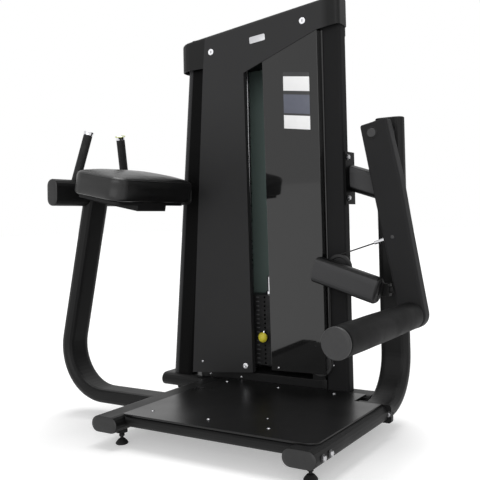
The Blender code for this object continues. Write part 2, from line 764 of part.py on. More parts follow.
def selector():
    """Drilled selector stem with its collar, and the pin with its yellow knob."""
    bottom = STACK_LOW_Z + 0.004
    top = stack_top_z() + STEM_ABOVE
    collar = stack_top_z() + GAP
    profile = [
        (0, bottom), (STEM_RADIUS, bottom), (STEM_RADIUS, collar), (0.017, collar),
        (0.017, collar + 0.012), (STEM_RADIUS, collar + 0.014), (STEM_RADIUS, top - 0.008),
        (0.006, top), (0, top),
    ]
    stem = turned("selector_stem", profile, (STACK_X, STACK_Y, 0), Z_AXIS, CHROME, 20)
    for index in range(PAIR_COUNT * 2):
        z = STACK_LOW_Z + (index + 0.5) * PLATE_PITCH
        hole = rod(
            "stem_hole_%d" % index, (STACK_X, STACK_Y - 0.03, z), (STACK_X, STACK_Y + 0.03, z),
            PIN_BORE, None, 8, cutter=True,
        )
        combine(stem, hole)
    front = STACK_FRONT_Y - 0.002
    reach = STACK_Y + STEM_RADIUS * 0.6 - front
    knob = [
        (0, -reach), (PIN_RADIUS - 0.001, -reach), (PIN_RADIUS, 0.002 - reach), (PIN_RADIUS, 0),
        (0.010, 0.0005), (0.010, 0.004), (0.0075, 0.006), (KNOB_RADIUS - 0.004, 0.009),
        (KNOB_RADIUS, 0.013), (KNOB_RADIUS, 0.019), (KNOB_RADIUS - 0.005, 0.025), (0, 0.027),
    ]
    turned("selector_pin", knob, (STACK_X, front, pin_z()), -Y_AXIS, YELLOW, 24)


def pulley(name, x, y, z):
    """Grooved wheel with a hub, turned about Y."""
    half = PULLEY_WIDE / 2
    rim = PULLEY_RADIUS
    groove = PULLEY_GROOVE - CABLE_RADIUS - GROOVE_SLACK
    web = 0.0035
    profile = [
        (PULLEY_BORE, -half), (0.013, -half), (0.014, -web), (groove - 0.005, -web),
        (groove - 0.002, -half), (rim, -half), (rim, -half + 0.0015), (groove + 0.0008, -0.0025),
        (groove, -0.001), (groove, 0.001), (groove + 0.0008, 0.0025),
        (rim, half - 0.0015), (rim, half), (groove - 0.002, half), (groove - 0.005, web),
        (0.014, web), (0.013, half), (PULLEY_BORE, half),
    ]
    return turned(name, profile, (x, y, z), Y_AXIS, NYLON, 24)


def cable_points():
    """Corners of the cable's path that the pulleys and the fork share."""
    slope = math.atan(CABLE_RISE)
    normal = (-math.sin(slope), math.cos(slope))
    top = (SIDE_PULLEY_X + PULLEY_GROOVE * normal[0], SIDE_PULLEY_Z + PULLEY_GROOVE * normal[1])
    return slope, top


def low_pulley_x():
    return SIDE_PULLEY_X - 2 * PULLEY_GROOVE


def top_pulley_x():
    return low_pulley_x() - 2 * PULLEY_GROOVE


def stack_pulley_x():
    return STACK_X + PULLEY_GROOVE


def pulleys():
    pulley("side_pulley", SIDE_PULLEY_X, FRONT_CABLE_Y, SIDE_PULLEY_Z)
    pulley("low_pulley", low_pulley_x(), FRONT_CABLE_Y, LOW_PULLEY_Z)
    pulley("top_pulley", top_pulley_x(), STACK_Y, TOP_PULLEY_Z)
    pulley("stack_pulley", stack_pulley_x(), STACK_Y, TOP_PULLEY_Z)
    side_pulley_axle()
    low_pulley_bracket()
    top_pulley_bracket()


def axle_profile(reach, wall):
    """A headed axle: the head in front of the wheel, the shank through it to its seat."""
    half = PULLEY_WIDE / 2
    return [
        (0, -half - AXLE_HEAD), (0.0095, -half - AXLE_HEAD), (0.0095, -half - GAP), (AXLE_RADIUS, -half - GAP),
        (AXLE_RADIUS, half + GAP), (wall, half + GAP), (wall, reach), (0, reach),
    ]


def side_pulley_axle():
    reach = UPRIGHT_FRONT_Y - GAP - FRONT_CABLE_Y
    profile = axle_profile(reach, 0.012)
    turned("side_pulley_axle", profile, (SIDE_PULLEY_X, FRONT_CABLE_Y, SIDE_PULLEY_Z), Y_AXIS, STEEL, 24)


def low_pulley_bracket():
    """Bent plate on the stack base with the low pulley's axle."""
    x = low_pulley_x()
    near = FRONT_CABLE_Y + PULLEY_WIDE / 2 + 0.003
    right = RIGHT_UPRIGHT_X - RIGHT_UPRIGHT_WIDE / 2 - 0.002
    bracket = box(
        "low_pulley_bracket", (x - 0.040, near, BASE_TOP_Z + GAP), (min(x + 0.012, right), near + 0.006,
        LOW_PULLEY_Z + 0.022), BLACK_COAT,
    )
    axle = turned(
        "low_pulley_axle", axle_profile(near + 0.003 - FRONT_CABLE_Y, 0.011),
        (x, FRONT_CABLE_Y, LOW_PULLEY_Z), Y_AXIS, STEEL, 24,
    )
    as_cutter(axle)
    combine(bracket, axle, "UNION")


def as_cutter(piece):
    """Move a finished piece among the cutters, to weld it onto another."""
    PARTS.objects.unlink(piece)
    CUTTERS.objects.link(piece)
    piece.hide_render = True
    piece.display_type = "WIRE"


def top_pulley_bracket():
    """Cheek plate under the rod plate with both top axles."""
    near = STACK_Y - PULLEY_WIDE / 2 - 0.003
    high = CROSSBAR_Z - 0.020 - 0.008 - GAP
    left = stack_pulley_x() - 0.014
    right = top_pulley_x() + 0.018
    cheek = box(
        "top_pulley_bracket", (left, near - 0.006, TOP_PULLEY_Z - 0.020), (right, near, high), BLACK_COAT,
    )
    for x in (stack_pulley_x(), top_pulley_x()):
        axle = turned(
            "top_axle_%d" % round(x * 1000), axle_profile(STACK_Y - near + 0.003, 0.011),
            (x, STACK_Y, TOP_PULLEY_Z), -Y_AXIS, STEEL, 24,
        )
        as_cutter(axle)
        combine(cheek, axle, "UNION")


def smooth_arc(centre, y_start, y_end, start_deg, end_deg, steps):
    """Cable wrapped on a pulley."""
    points = []
    for i in range(steps + 1):
        angle = math.radians(start_deg + (end_deg - start_deg) * i / steps)
        y = y_start + (y_end - y_start) * i / steps
        points.append((
            centre[0] + PULLEY_GROOVE * math.cos(angle), y, centre[1] + PULLEY_GROOVE * math.sin(angle),
        ))
    return points


def cables():
    """Fork, the stretch to the arm, the fixed run round the pulleys and the stretch to the stack."""
    slope, top = cable_points()
    along = Vector((math.cos(slope), 0, math.sin(slope)))
    start = Vector((top[0], FRONT_CABLE_Y, top[1]))
    edge = arm_left_edge_reach(start, along)
    fork_long = 0.040
    fork_start = start + along * (edge - fork_long)
    fork_end = start + along * (edge - FORK_CLEARANCE)
    fork_tube = rod("cable_fork", fork_start, fork_end, 0.0065, CHROME, 24)
    rounded_edges(fork_tube, 0.0015, 2)
    route("cable_to_arm", [start + along * GAP, fork_start - along * GAP], CABLE_RADIUS, RUBBER)
    wrap_start = 90 + math.degrees(slope)
    side = (SIDE_PULLEY_X, SIDE_PULLEY_Z)
    low = (low_pulley_x(), LOW_PULLEY_Z)
    points = smooth_arc(side, FRONT_CABLE_Y, FRONT_CABLE_Y, wrap_start, 180, 7)
    points += smooth_arc(low, FRONT_CABLE_Y, FRONT_CABLE_Y, 0, -180, 14)
    points += smooth_arc((top_pulley_x(), TOP_PULLEY_Z), STACK_Y, STACK_Y, 0, 90, 7)
    points += smooth_arc((stack_pulley_x(), TOP_PULLEY_Z), STACK_Y, STACK_Y, 90, 180, 7)
    route("cable_run", points, CABLE_RADIUS, RUBBER)
    route(
        "cable_to_stack",
        [(STACK_X, STACK_Y, TOP_PULLEY_Z - GAP), (STACK_X, STACK_Y, stack_top_z() + STEM_ABOVE + GAP)],
        CABLE_RADIUS, RUBBER,
    )


def right_column():
    column = oval_tube("right_column", *right_column_runs(), BLACK_COAT)
    combine(column, flange("column_flange", FLANGE_Y + GAP), "UNION")


def link_angle():
    return math.atan(LINK_SLOPE)


def upper_link():
    """Sloping tube from its plate on the right upright to the column's front."""
    plate_left = RIGHT_UPRIGHT_X + RIGHT_UPRIGHT_WIDE / 2 + GAP
    mid_y = COLUMN_FRONT_Y - GAP - LINK_THIN / 2
    plate = box(
        "link_plate", (plate_left, UPRIGHT_FRONT_Y + 0.002, LINK_START_Z - LINK_PLATE_HIGH / 2),
        (plate_left + LINK_PLATE_THICK, COLUMN_FRONT_Y - GAP, LINK_START_Z + LINK_PLATE_HIGH / 2),
        BLACK_COAT,
    )
    rounded_edges(plate, 0.0015, 2)
    start_x = plate_left + LINK_PLATE_THICK + GAP
    angle = link_angle()
    heading = Vector((math.cos(angle), 0, -math.sin(angle)))
    length = (LINK_END_X - start_x) / math.cos(angle)
    back = 0.040
    start = Vector((start_x, mid_y, LINK_START_Z)) - heading * back
    tube = oval_tube(
        "upper_link", start, heading, heading.cross(Y_AXIS), [("straight", length + back)],
        BLACK_COAT, LINK_WIDE, LINK_THIN,
    )
    trim = box(
        "upper_link_trim", (start_x - 0.2, -0.2, LINK_START_Z - 0.2),
        (start_x, 0.2, LINK_START_Z + 0.2), None, cutter=True,
    )
    combine(tube, trim)


def stop_tube():
    """Rounded box tube in front of the right upright, with its mount and stop bracket."""
    start = Vector((STOP_LEFT_X, 0, STOP_LEFT_Z))
    end = Vector((STOP_RIGHT_X, 0, STOP_RIGHT_Z))
    y = TOWER_FRONT_Y - 0.001 - STOP_DEEP / 2
    start.y = y
    end.y = y
    heading = (end - start).normalized()
    section = rounded_box_section(STOP_HIGH, STOP_DEEP, STOP_ROUND, 5)
    length = (end - start).length
    tube = sweep(
        "stop_tube", section, start, heading, heading.cross(Y_AXIS), [("straight", length)], GREY_COAT,
    )
    rounded_edges(tube, 0.004, 2, 60)
    back = y + STOP_DEEP / 2 + GAP
    mount_x = RIGHT_UPRIGHT_X
    mount_z = STOP_LEFT_Z + (mount_x - STOP_LEFT_X) * heading.z / heading.x
    mount = box(
        "stop_mount", (mount_x - 0.010, back - 0.010, mount_z - STOP_HIGH / 2 + 0.010),
        (mount_x + 0.030, UPRIGHT_FRONT_Y - GAP, SIDE_PULLEY_Z - PULLEY_RADIUS - 0.004), None, cutter=True,
    )
    combine(tube, mount, "UNION")
    right = STOP_RIGHT_X + 0.024
    bracket = box(
        "stop_bracket", (STOP_RIGHT_X - 0.030, back, STOP_RIGHT_Z - 0.022),
        (right, back + 0.030, STOP_RIGHT_Z + 0.022), BLACK_COAT,
    )
    rounded_edges(bracket, 0.002, 2)
    along = Vector((1, 0, 0))
    first = Vector((right + GAP, back + 0.015, STOP_RIGHT_Z))
    reach = arm_left_edge_reach(first, along)
    bumper = rod("stop_bumper", first, first + along * (reach - 0.0035), BUMPER_RADIUS, RUBBER, 24)
    rounded_edges(bumper, 0.002, 2)


def arm_outline():
    """Arm seen from the front: a leaning blade that ends in the roller's boss."""
    across = 0.006
    return (
        [(0.450 + across, 1.045), (0.497 + across, 0.800), (0.523 + across, 0.674)]
        + arc((ROLLER_X, ROLLER_Z), ROLLER_RADIUS, 194.3, 371, 16)
        + [(0.617 + across, 0.714), (0.596 + across, 0.850), (0.550 + across, 1.066)]
    )


def arm_left_edge_reach(point, along):
    """Distance from a point along a direction to the arm's near edge below the kink."""
    outline = arm_outline()
    a = Vector((outline[2][0], 0, outline[2][1]))
    b = Vector((outline[3][0], 0, outline[3][1]))
    edge = b - a
    normal = Vector((edge.z, 0, -edge.x))
    offset = a - Vector((point.x, 0, point.z))
    return offset.dot(normal) / Vector((along.x, 0, along.z)).dot(normal)


def swing_arm():
    arm = slab("swing_arm", arm_outline(), ARM_FRONT_Y, ARM_BACK_Y, BLACK_COAT)
    rounded_edges(arm, 0.008, 3)
    pivot_bore = rod(
        "pivot_bore", (PIVOT_X, ARM_FRONT_Y - 0.02, PIVOT_Z), (PIVOT_X, ARM_BACK_Y + 0.02, PIVOT_Z),
        PIVOT_BORE, None, 32, cutter=True,
    )
    combine(arm, pivot_bore)
    axle_bore = rod(
        "axle_bore", (ROLLER_X, ARM_FRONT_Y - 0.02, ROLLER_Z), (ROLLER_X, ARM_BACK_Y - 0.012, ROLLER_Z),
        ROLLER_AXLE_RADIUS + GAP, None, 32, cutter=True,
    )
    combine(arm, axle_bore)
    hub_depth = COLUMN_FRONT_Y - GAP - ARM_BACK_Y - GAP
    hub = [
        (PIVOT_BORE, 0), (HUB_RADIUS - 0.004, 0), (HUB_RADIUS, 0.004), (HUB_RADIUS, hub_depth),
        (PIVOT_BORE, hub_depth),
    ]
    turned("pivot_hub", hub, (PIVOT_X, ARM_BACK_Y + GAP, PIVOT_Z), Y_AXIS, BLACK_COAT, 32)
    cap = ARM_FRONT_Y - GAP
    length = COLUMN_FRONT_Y - 0.004 - cap
    shaft = [
        (0, -0.005), (PIVOT_CAP_RADIUS - 0.002, -0.005), (PIVOT_CAP_RADIUS, -0.003),
        (PIVOT_CAP_RADIUS, 0), (PIVOT_RADIUS, 0), (PIVOT_RADIUS, length), (0, length),
    ]
    turned("pivot_shaft", shaft, (PIVOT_X, cap, PIVOT_Z), Y_AXIS, STEEL, 32)


def roller():
    """Fixed axle, foam roller that turns on it and its end disc."""
    disc_near = ROLLER_FRONT_Y
    foam_near = disc_near + DISC_THICK + GAP
    foam_far = ARM_FRONT_Y - 0.004
    long = foam_far - foam_near
    seat = ARM_BACK_Y - 0.012 - GAP
    axle_start = foam_near + 0.004
    rod("roller_axle", (ROLLER_X, axle_start, ROLLER_Z), (ROLLER_X, seat, ROLLER_Z),
        ROLLER_AXLE_RADIUS, STEEL, 32)
    bulge = 0.0015
    points = [(ROLLER_BORE, 0)]
    points += arc_profile(ROLLER_RADIUS - bulge, 0.010, long)
    points += [(ROLLER_BORE, long)]
    turned("roller_foam", points, (ROLLER_X, foam_near, ROLLER_Z), Y_AXIS, LEATHER, 36)
    disc = [
        (0, 0), (ROLLER_RADIUS - 0.010, 0.0005), (ROLLER_RADIUS - 0.003, 0.002),
        (ROLLER_RADIUS - 0.001, 0.005), (ROLLER_RADIUS - 0.001, DISC_THICK), (0, DISC_THICK),
    ]
    turned("roller_disc", disc, (ROLLER_X, disc_near, ROLLER_Z), Y_AXIS, GREY_COAT, 36)


def arc_profile(radius, corner, long):
    """Rounded ends and a slight crown along the roller."""
    near = [(radius - corner + r, h) for r, h in arc((0, corner), corner, -90, 0, 4)]
    crown = [(radius + 0.0015, long / 2)]
    far = [(radius - corner + r, h) for r, h in arc((0, long - corner), corner, 0, 90, 4)]
    return near + crown + far


def left_column():
    lean = math.radians(LEFT_LEAN_DEG)
    bend_end = Vector((
        LEFT_BEND_X - LEFT_BEND * math.cos(lean), 0, RAIL_Z + LEFT_BEND + LEFT_BEND * math.sin(lean),
    ))
    top_z = BEAM_Z - (BEAM_WIDE - TUBE_THIN) / 2
    rise = (top_z - bend_end.z) / math.cos(lean)
    runs = [
        ("straight", LEFT_RAIL_X - LEFT_BEND_X),
        ("bend", Z_AXIS, LEFT_BEND, 90 + LEFT_LEAN_DEG, 16),
        ("straight", rise),
    ]
    column = oval_tube(
        "left_column", (LEFT_RAIL_X, LEFT_COLUMN_Y, RAIL_Z), -X_AXIS, Y_AXIS, runs, BLACK_COAT,
    )
    combine(column, oval_cutter("left_rail_side_cut", *left_rail_runs()))
    combine(column, oval_cutter("beam_cut", *elbow_beam_runs(), BEAM_WIDE, TUBE_THIN))


def elbow_beam():
    oval_tube("elbow_beam", *elbow_beam_runs(), BLACK_COAT, BEAM_WIDE, TUBE_THIN)


def left_link():
    """Tube from the elbow beam's far end to the left upright's front."""
    target_z = BEAM_Z - LEFT_LINK_DROP
    target = Vector((left_upright_x(target_z), UPRIGHT_Y, target_z))
    start = Vector((BEAM_X, BEAM_BACK_Y - 0.040, BEAM_Z - 0.003))
    heading = (target - start).normalized()
    across = (Z_AXIS - heading * Z_AXIS.dot(heading)).normalized()
    tube = oval_tube(
        "left_link", start, heading, across, [("straight", (target - start).length)],
        BLACK_COAT, LEFT_LINK_WIDE, LEFT_LINK_THIN,
    )
    combine(tube, oval_cutter("beam_side_cut", *elbow_beam_runs(), BEAM_WIDE, TUBE_THIN))
    room = 2 * UPRIGHT_WIDE
    front = box(
        "upright_front_cut", (target.x - room, UPRIGHT_FRONT_Y - GAP, target_z - room),
        (target.x + room, UPRIGHT_FRONT_Y + room, target_z + room), None, cutter=True,
    )
    combine(tube, front)


def pad_frame():
    """Pad axes: from the high edge to the low edge, across, and out of its top."""
    tilt = math.radians(PAD_TILT_DEG)
    down = Vector((math.cos(tilt), 0, -math.sin(tilt)))
    out = Vector((math.sin(tilt), 0, math.cos(tilt)))
    centre = Vector((PAD_TOP_X, PAD_Y, PAD_TOP_Z)) - out * PAD_THICK
    return Matrix((
        (down.x, 0, out.x, centre.x), (0, 1, 0, centre.y), (down.z, 0, out.z, centre.z), (0, 0, 0, 1),
    ))


def elbow_pad():
    """Cushion: drawn-in sides, rounded rim and a crowned top, over its flat back."""
    levels = (
        (0.000, 0.006), (0.004, 0.001), (0.014, 0.000), (0.045, 0.002), (0.066, 0.001),
        (0.076, 0.004), (0.0805, 0.010), (0.083, 0.020),
    )
    bm = bmesh.new()
    rings = []
    for height, inset in levels:
        section = rounded_box_section(PAD_LONG - 2 * inset, PAD_WIDE - 2 * inset, PAD_CORNER - inset / 2, 6)
        rings.append([bm.verts.new((u, v, height)) for u, v in section])
    for lower, upper in zip(rings, rings[1:]):
        for i in range(len(lower)):
            j = (i + 1) % len(lower)
            bm.faces.new((lower[i], lower[j], upper[j], upper[i]))
    bm.faces.new(list(reversed(rings[0])))
    crown = [(0.70, 0.0855), (0.35, 0.0880)]
    last = rings[-1]
    for share, height in crown:
        ring = [bm.verts.new((v.co.x * share, v.co.y * share, height)) for v in rings[-1]]
        for i in range(len(last)):
            j = (i + 1) % len(last)
            bm.faces.new((last[i], last[j], ring[j], ring[i]))
        last = ring
    middle = bm.verts.new((0, 0, PAD_THICK))
    for i in range(len(last)):
        bm.faces.new((last[i], last[(i + 1) % len(last)], middle))
    bmesh.ops.transform(bm, matrix=pad_frame(), verts=bm.verts)
    as_object("elbow_pad", bm, LEATHER)


def pad_bracket():
    """Board under the pad and the arm that carries it from the beam."""
    board_thick = 0.010
    frame = pad_frame()
    inset = 0.020
    section = rounded_box_section(PAD_LONG - 2 * inset, PAD_WIDE - 2 * inset, PAD_CORNER - inset, 4)
    bm = bmesh.new()
    face = bm.faces.new([bm.verts.new((u, v, -GAP)) for u, v in section])
    grown = bmesh.ops.extrude_face_region(bm, geom=[face])["geom"]
    verts = [g for g in grown if isinstance(g, bmesh.types.BMVert)]
    bmesh.ops.translate(bm, vec=(0, 0, -board_thick), verts=verts)
    bmesh.ops.transform(bm, matrix=frame, verts=bm.verts)
    bracket = as_object("pad_bracket", bm, BLACK_COAT)
    top = -GAP - board_thick + 0.001
    bm = bmesh.new()
    size = (PAD_LONG + 0.080, BRACKET_WIDE, BRACKET_THICK)
    middle = (-0.060, 0, top - BRACKET_THICK / 2)
    bmesh.ops.create_cube(bm, size=1, matrix=frame @ Matrix.Translation(middle) @ Matrix.Diagonal((*size, 1)))
    arm = as_object("bracket_arm", bm, None, cutter=True)
    combine(arm, oval_cutter("beam_bracket_cut", *elbow_beam_runs(), BEAM_WIDE, TUBE_THIN))
    beyond = box("beyond_beam_cut", (BEAM_X - 0.2, -1, 0.5), (BEAM_X, 0, 1.2), None, cutter=True)
    combine(arm, beyond)
    combine(bracket, arm, "UNION")


def handle(name, y, lean_y):
    """Grip that leans in and towards the user, fish-mouthed onto the beam."""
    base = Vector((BEAM_X, y, BEAM_Z))
    top_z = BEAM_Z + BEAM_WIDE / 2 + HANDLE_RISE
    rise = top_z - BEAM_Z
    offset = BEAM_WIDE / 2
    start = base + Vector((0, 0, offset - 0.02))
    end = base + Vector((HANDLE_LEAN_X * (rise - offset), lean_y * (rise - offset), rise))
    grip = rod(name, start, end, HANDLE_RADIUS, RUBBER, 32)
    rounded_edges(grip, 0.003, 2)
    combine(grip, oval_cutter(name + "_cut", *elbow_beam_runs(), BEAM_WIDE, TUBE_THIN))


def centre_on_floor(movers):
    """Put the origin under the middle of the machine, on the floor."""
    bpy.context.view_layer.update()
    graph = bpy.context.evaluated_depsgraph_get()
    low = Vector((1e9, 1e9, 1e9))
    high = -low
    for piece in PARTS.objects:
        shape = piece.evaluated_get(graph)
        mesh = shape.to_mesh()
        for vert in mesh.vertices:
            place = piece.matrix_world @ vert.co
            low = Vector(map(min, low, place))
            high = Vector(map(max, high, place))
        shape.to_mesh_clear()
    machine = bpy.data.objects.new("machine", None)
    bpy.context.scene.collection.objects.link(machine)
    for piece in list(PARTS.objects) + list(CUTTERS.objects):
        piece.parent = movers.get(piece.name, machine)
        if piece.parent is not machine:
            piece.matrix_parent_inverse = Matrix.Translation(-piece.parent.location)
    for empty in set(movers.values()):
        empty.parent = machine
    middle = (low + high) / 2
    machine.location = (-middle.x, -middle.y, -low.z)


def joint_empty(name, place):
    empty = bpy.data.objects.new(name, None)
    empty.location = place
    bpy.context.scene.collection.objects.link(empty)
    return empty


def moving_pieces():
    """Each moving piece hangs from an empty on its joint's axis."""
    arm = joint_empty("arm_hinge", (PIVOT_X, ARM_FRONT_Y, PIVOT_Z))
    spin = joint_empty("roller_spin", (ROLLER_X, ROLLER_FRONT_Y, ROLLER_Z))
    lift = joint_empty("stack_slide", (STACK_X, STACK_Y, STACK_LOW_Z))
    pull = joint_empty("pin_slide", (STACK_X, STACK_FRONT_Y, pin_z()))
    movers = {name: arm for name in (
        "swing_arm", "pivot_shaft", "roller_axle", "cable_fork", "pivot_bore", "axle_bore",
    )}
    movers.update({"roller_foam": spin, "roller_disc": spin})
    movers["selector_stem"] = lift
    movers.update({"stem_hole_%d" % i: lift for i in range(PAIR_COUNT * 2)})
    for index in range(RESTING_PAIRS, PAIR_COUNT):
        movers["weight_pair_%d" % (index + 1)] = lift
    movers["selector_pin"] = pull
    wheels = (
        ("side_pulley", SIDE_PULLEY_X, FRONT_CABLE_Y, SIDE_PULLEY_Z),
        ("low_pulley", low_pulley_x(), FRONT_CABLE_Y, LOW_PULLEY_Z),
        ("top_pulley", top_pulley_x(), STACK_Y, TOP_PULLEY_Z),
        ("stack_pulley", stack_pulley_x(), STACK_Y, TOP_PULLEY_Z),
    )
    for name, x, y, z in wheels:
        movers[name] = joint_empty(name + "_spin", (x, y, z))
    return movers


def build():
    base_frame()
    platform()
    feet()
    uprights()
    crossbar()
    header_cover()
    right_panel()
    rear_cover()
    stack_base()
    guide_rods()
    for index in range(PAIR_COUNT):
        weight_pair(index)
    selector()
    pulleys()
    cables()
    right_column()
    upper_link()
    stop_tube()
    swing_arm()
    roller()
    left_column()
    elbow_beam()
    left_link()
    elbow_pad()
    pad_bracket()
    handle("handle_near", HANDLE_NEAR_Y, HANDLE_LEAN_Y)
    handle("handle_far", HANDLE_FAR_Y, -HANDLE_LEAN_Y)
    centre_on_floor(moving_pieces())


build()
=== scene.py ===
"""Looks of the glute machine: materials for every CAD node, the padded pieces, caps, bolts,
plates, cable stretches, floor, light and camera. Metres; "tower" points use the tower's own axes."""

import math

import bmesh
import bpy
from mathutils import Matrix, Vector, noise
from mathutils.bvhtree import BVHTree


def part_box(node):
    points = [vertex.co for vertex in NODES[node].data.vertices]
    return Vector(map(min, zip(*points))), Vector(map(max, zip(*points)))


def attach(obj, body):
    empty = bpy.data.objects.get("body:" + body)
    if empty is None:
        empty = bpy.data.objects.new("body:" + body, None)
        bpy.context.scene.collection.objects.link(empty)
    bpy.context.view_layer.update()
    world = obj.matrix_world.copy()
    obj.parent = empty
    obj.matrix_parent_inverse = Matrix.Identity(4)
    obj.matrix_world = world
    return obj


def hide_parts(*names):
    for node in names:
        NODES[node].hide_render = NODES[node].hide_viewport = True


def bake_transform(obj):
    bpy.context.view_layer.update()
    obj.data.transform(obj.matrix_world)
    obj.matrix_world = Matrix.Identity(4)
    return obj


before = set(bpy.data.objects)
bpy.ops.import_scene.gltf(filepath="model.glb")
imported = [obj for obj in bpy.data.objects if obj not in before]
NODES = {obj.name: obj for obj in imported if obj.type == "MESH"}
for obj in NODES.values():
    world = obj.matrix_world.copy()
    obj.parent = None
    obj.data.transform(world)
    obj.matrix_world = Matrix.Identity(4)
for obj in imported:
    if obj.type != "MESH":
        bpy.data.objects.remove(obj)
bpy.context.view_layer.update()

X_AXIS = Vector((1, 0, 0))
Y_AXIS = Vector((0, 1, 0))
Z_AXIS = Vector((0, 0, 1))


def middle(node):
    low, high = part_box(node)
    return (low + high) / 2


# The tower's own axes: the selector stem stands at x 0.015 and the panels' front at y -0.040
STEM_X = 0.015
FRONT_Y = -0.040
TOWER = Vector((middle("selector_stem").x - STEM_X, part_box("right_panel")[0].y - FRONT_Y, 0))


def tower(x, y, z):
    return TOWER + Vector((x, y, z))


# Camera, first, because the frame of the photo hangs on it

CAMERA_PLACE = (1.452, -2.243, 0.718)
CAMERA_RIGHT = Vector((0.8620, 0.5063, -0.0232))
CAMERA_UP = Vector((0.0322, -0.0091, 0.9994))


def make_camera():
    data = bpy.data.cameras.new("photo_camera")
    data.lens = 51.64
    data.sensor_width = 36
    data.shift_x = -0.1
    data.shift_y = -0.075
    right = CAMERA_RIGHT.normalized()
    up = (CAMERA_UP - right * CAMERA_UP.dot(right)).normalized()
    back = right.cross(up)
    camera = bpy.data.objects.new("photo_camera", data)
    turn = Matrix((right, up, back)).transposed().to_4x4()
    camera.matrix_world = Matrix.Translation(tower(*CAMERA_PLACE)) @ turn
    bpy.context.scene.collection.objects.link(camera)
    bpy.context.scene.camera = camera


make_camera()


# Materials

class Shader:
    """A node material built step by step around one Principled BSDF."""

    def __init__(self, name, roughness, metallic=0.0, specular=0.5):
        self.material = bpy.data.materials.new(name)
        self.material.use_nodes = True
        self.tree = self.material.node_tree
        self.bsdf = self.tree.nodes["Principled BSDF"]
        self.bsdf.inputs["Roughness"].default_value = roughness
        self.bsdf.inputs["Metallic"].default_value = metallic
        self.bsdf.inputs["Specular IOR Level"].default_value = specular
        self.coords = self.add("ShaderNodeTexCoord").outputs["Object"]
        self.height = None

    def add(self, kind, **values):
        node = self.tree.nodes.new(kind)
        for key, value in values.items():
            if hasattr(node, key):
                setattr(node, key, value)
            else:
                node.inputs[key.replace("_", " ")].default_value = value
        return node

    def link(self, output, socket):
        self.tree.links.new(output, socket)

    def noise(self, scale, detail=3.0, stretch=None):
        source = self.coords
        if stretch:
            mapping = self.add("ShaderNodeMapping")
            mapping.inputs["Scale"].default_value = stretch
            self.link(self.coords, mapping.inputs["Vector"])
            source = mapping.outputs["Vector"]
        texture = self.add("ShaderNodeTexNoise")
        texture.inputs["Scale"].default_value = scale
        texture.inputs["Detail"].default_value = detail
        self.link(source, texture.inputs["Vector"])
        return texture.outputs["Fac"]

    def cells(self, scale, feature="F1"):
        texture = self.add("ShaderNodeTexVoronoi")
        texture.feature = feature
        texture.inputs["Scale"].default_value = scale
        self.link(self.coords, texture.inputs["Vector"])
        return texture.outputs["Distance"]

    def remap(self, value, low, high, start=0.35, end=0.65):
        fit = self.add("ShaderNodeMapRange")
        fit.inputs["From Min"].default_value = start
        fit.inputs["From Max"].default_value = end
        fit.inputs["To Min"].default_value = low
        fit.inputs["To Max"].default_value = high
        self.link(value, fit.inputs["Value"])
        return fit.outputs["Result"]

    def colours(self, value, *stops):
        ramp = self.add("ShaderNodeValToRGB")
        elements = ramp.color_ramp.elements
        while len(elements) < len(stops):
            elements.new(0.5)
        for element, (position, colour) in zip(elements, stops):
            element.position = position
            element.color = (*colour, 1)
        self.link(value, ramp.inputs["Fac"])
        self.link(ramp.outputs["Color"], self.bsdf.inputs["Base Color"])
        return ramp

    def along(self, direction, origin):
        """Distance of a surface point from an origin along a direction."""
        product = self.add("ShaderNodeVectorMath")
        product.operation = "DOT_PRODUCT"
        product.inputs[1].default_value = direction
        self.link(self.coords, product.inputs[0])
        shift = self.add("ShaderNodeMath")
        shift.operation = "SUBTRACT"
        shift.inputs[1].default_value = Vector(direction).dot(Vector(origin))
        self.link(product.outputs["Value"], shift.inputs[0])
        return shift.outputs[0]

    def product(self, first, second):
        node = self.add("ShaderNodeMath")
        node.operation = "MULTIPLY"
        self.link(first, node.inputs[0])
        self.link(second, node.inputs[1])
        return node.outputs[0]

    def size_of(self, value):
        node = self.add("ShaderNodeMath")
        node.operation = "ABSOLUTE"
        self.link(value, node.inputs[0])
        return node.outputs[0]

    def toward(self, factor, colour):
        """Blend what Base Color has towards another colour by a varying factor."""
        socket = self.bsdf.inputs["Base Color"]
        before = socket.links[0].from_socket
        mix = self.add("ShaderNodeMix")
        mix.data_type = "RGBA"
        colour_b = [i for i in mix.inputs if i.name == "B" and i.type == "RGBA"][0]
        colour_a = [i for i in mix.inputs if i.name == "A" and i.type == "RGBA"][0]
        result = [o for o in mix.outputs if o.type == "RGBA"][0]
        colour_b.default_value = (*colour, 1)
        self.link(factor, mix.inputs[0])
        self.link(before, colour_a)
        self.link(result, socket)

    def rough(self, value, low, high):
        self.link(self.remap(value, low, high), self.bsdf.inputs["Roughness"])

    def bump(self, value, distance, strength=1.0):
        node = self.add("ShaderNodeBump")
        node.inputs["Strength"].default_value = strength
        node.inputs["Distance"].default_value = distance
        self.link(value, node.inputs["Height"])
        if self.height:
            self.link(self.height, node.inputs["Normal"])
        self.height = node.outputs["Normal"]
        self.link(self.height, self.bsdf.inputs["Normal"])


def grey(value, tint=(1.0, 1.0, 1.03)):
    return tuple(value * part for part in tint)


def powder_coat(name, dark, light, low_rough, high_rough, specular, ripple=0.20):
    """Baked powder paint: orange peel, faint cloudiness and handled, slightly shinier places."""
    shade = Shader(name, low_rough, specular=specular)
    shade.colours(shade.noise(2.6, 4), (0.30, grey(dark)), (0.72, grey(light)))
    shade.rough(shade.noise(5.0, 5), low_rough, high_rough)
    shade.bump(shade.noise(950, 2), 0.00012, 0.35)
    if ripple:
        shade.bump(shade.noise(160, 3), 0.00010, ripple)
    return shade.material


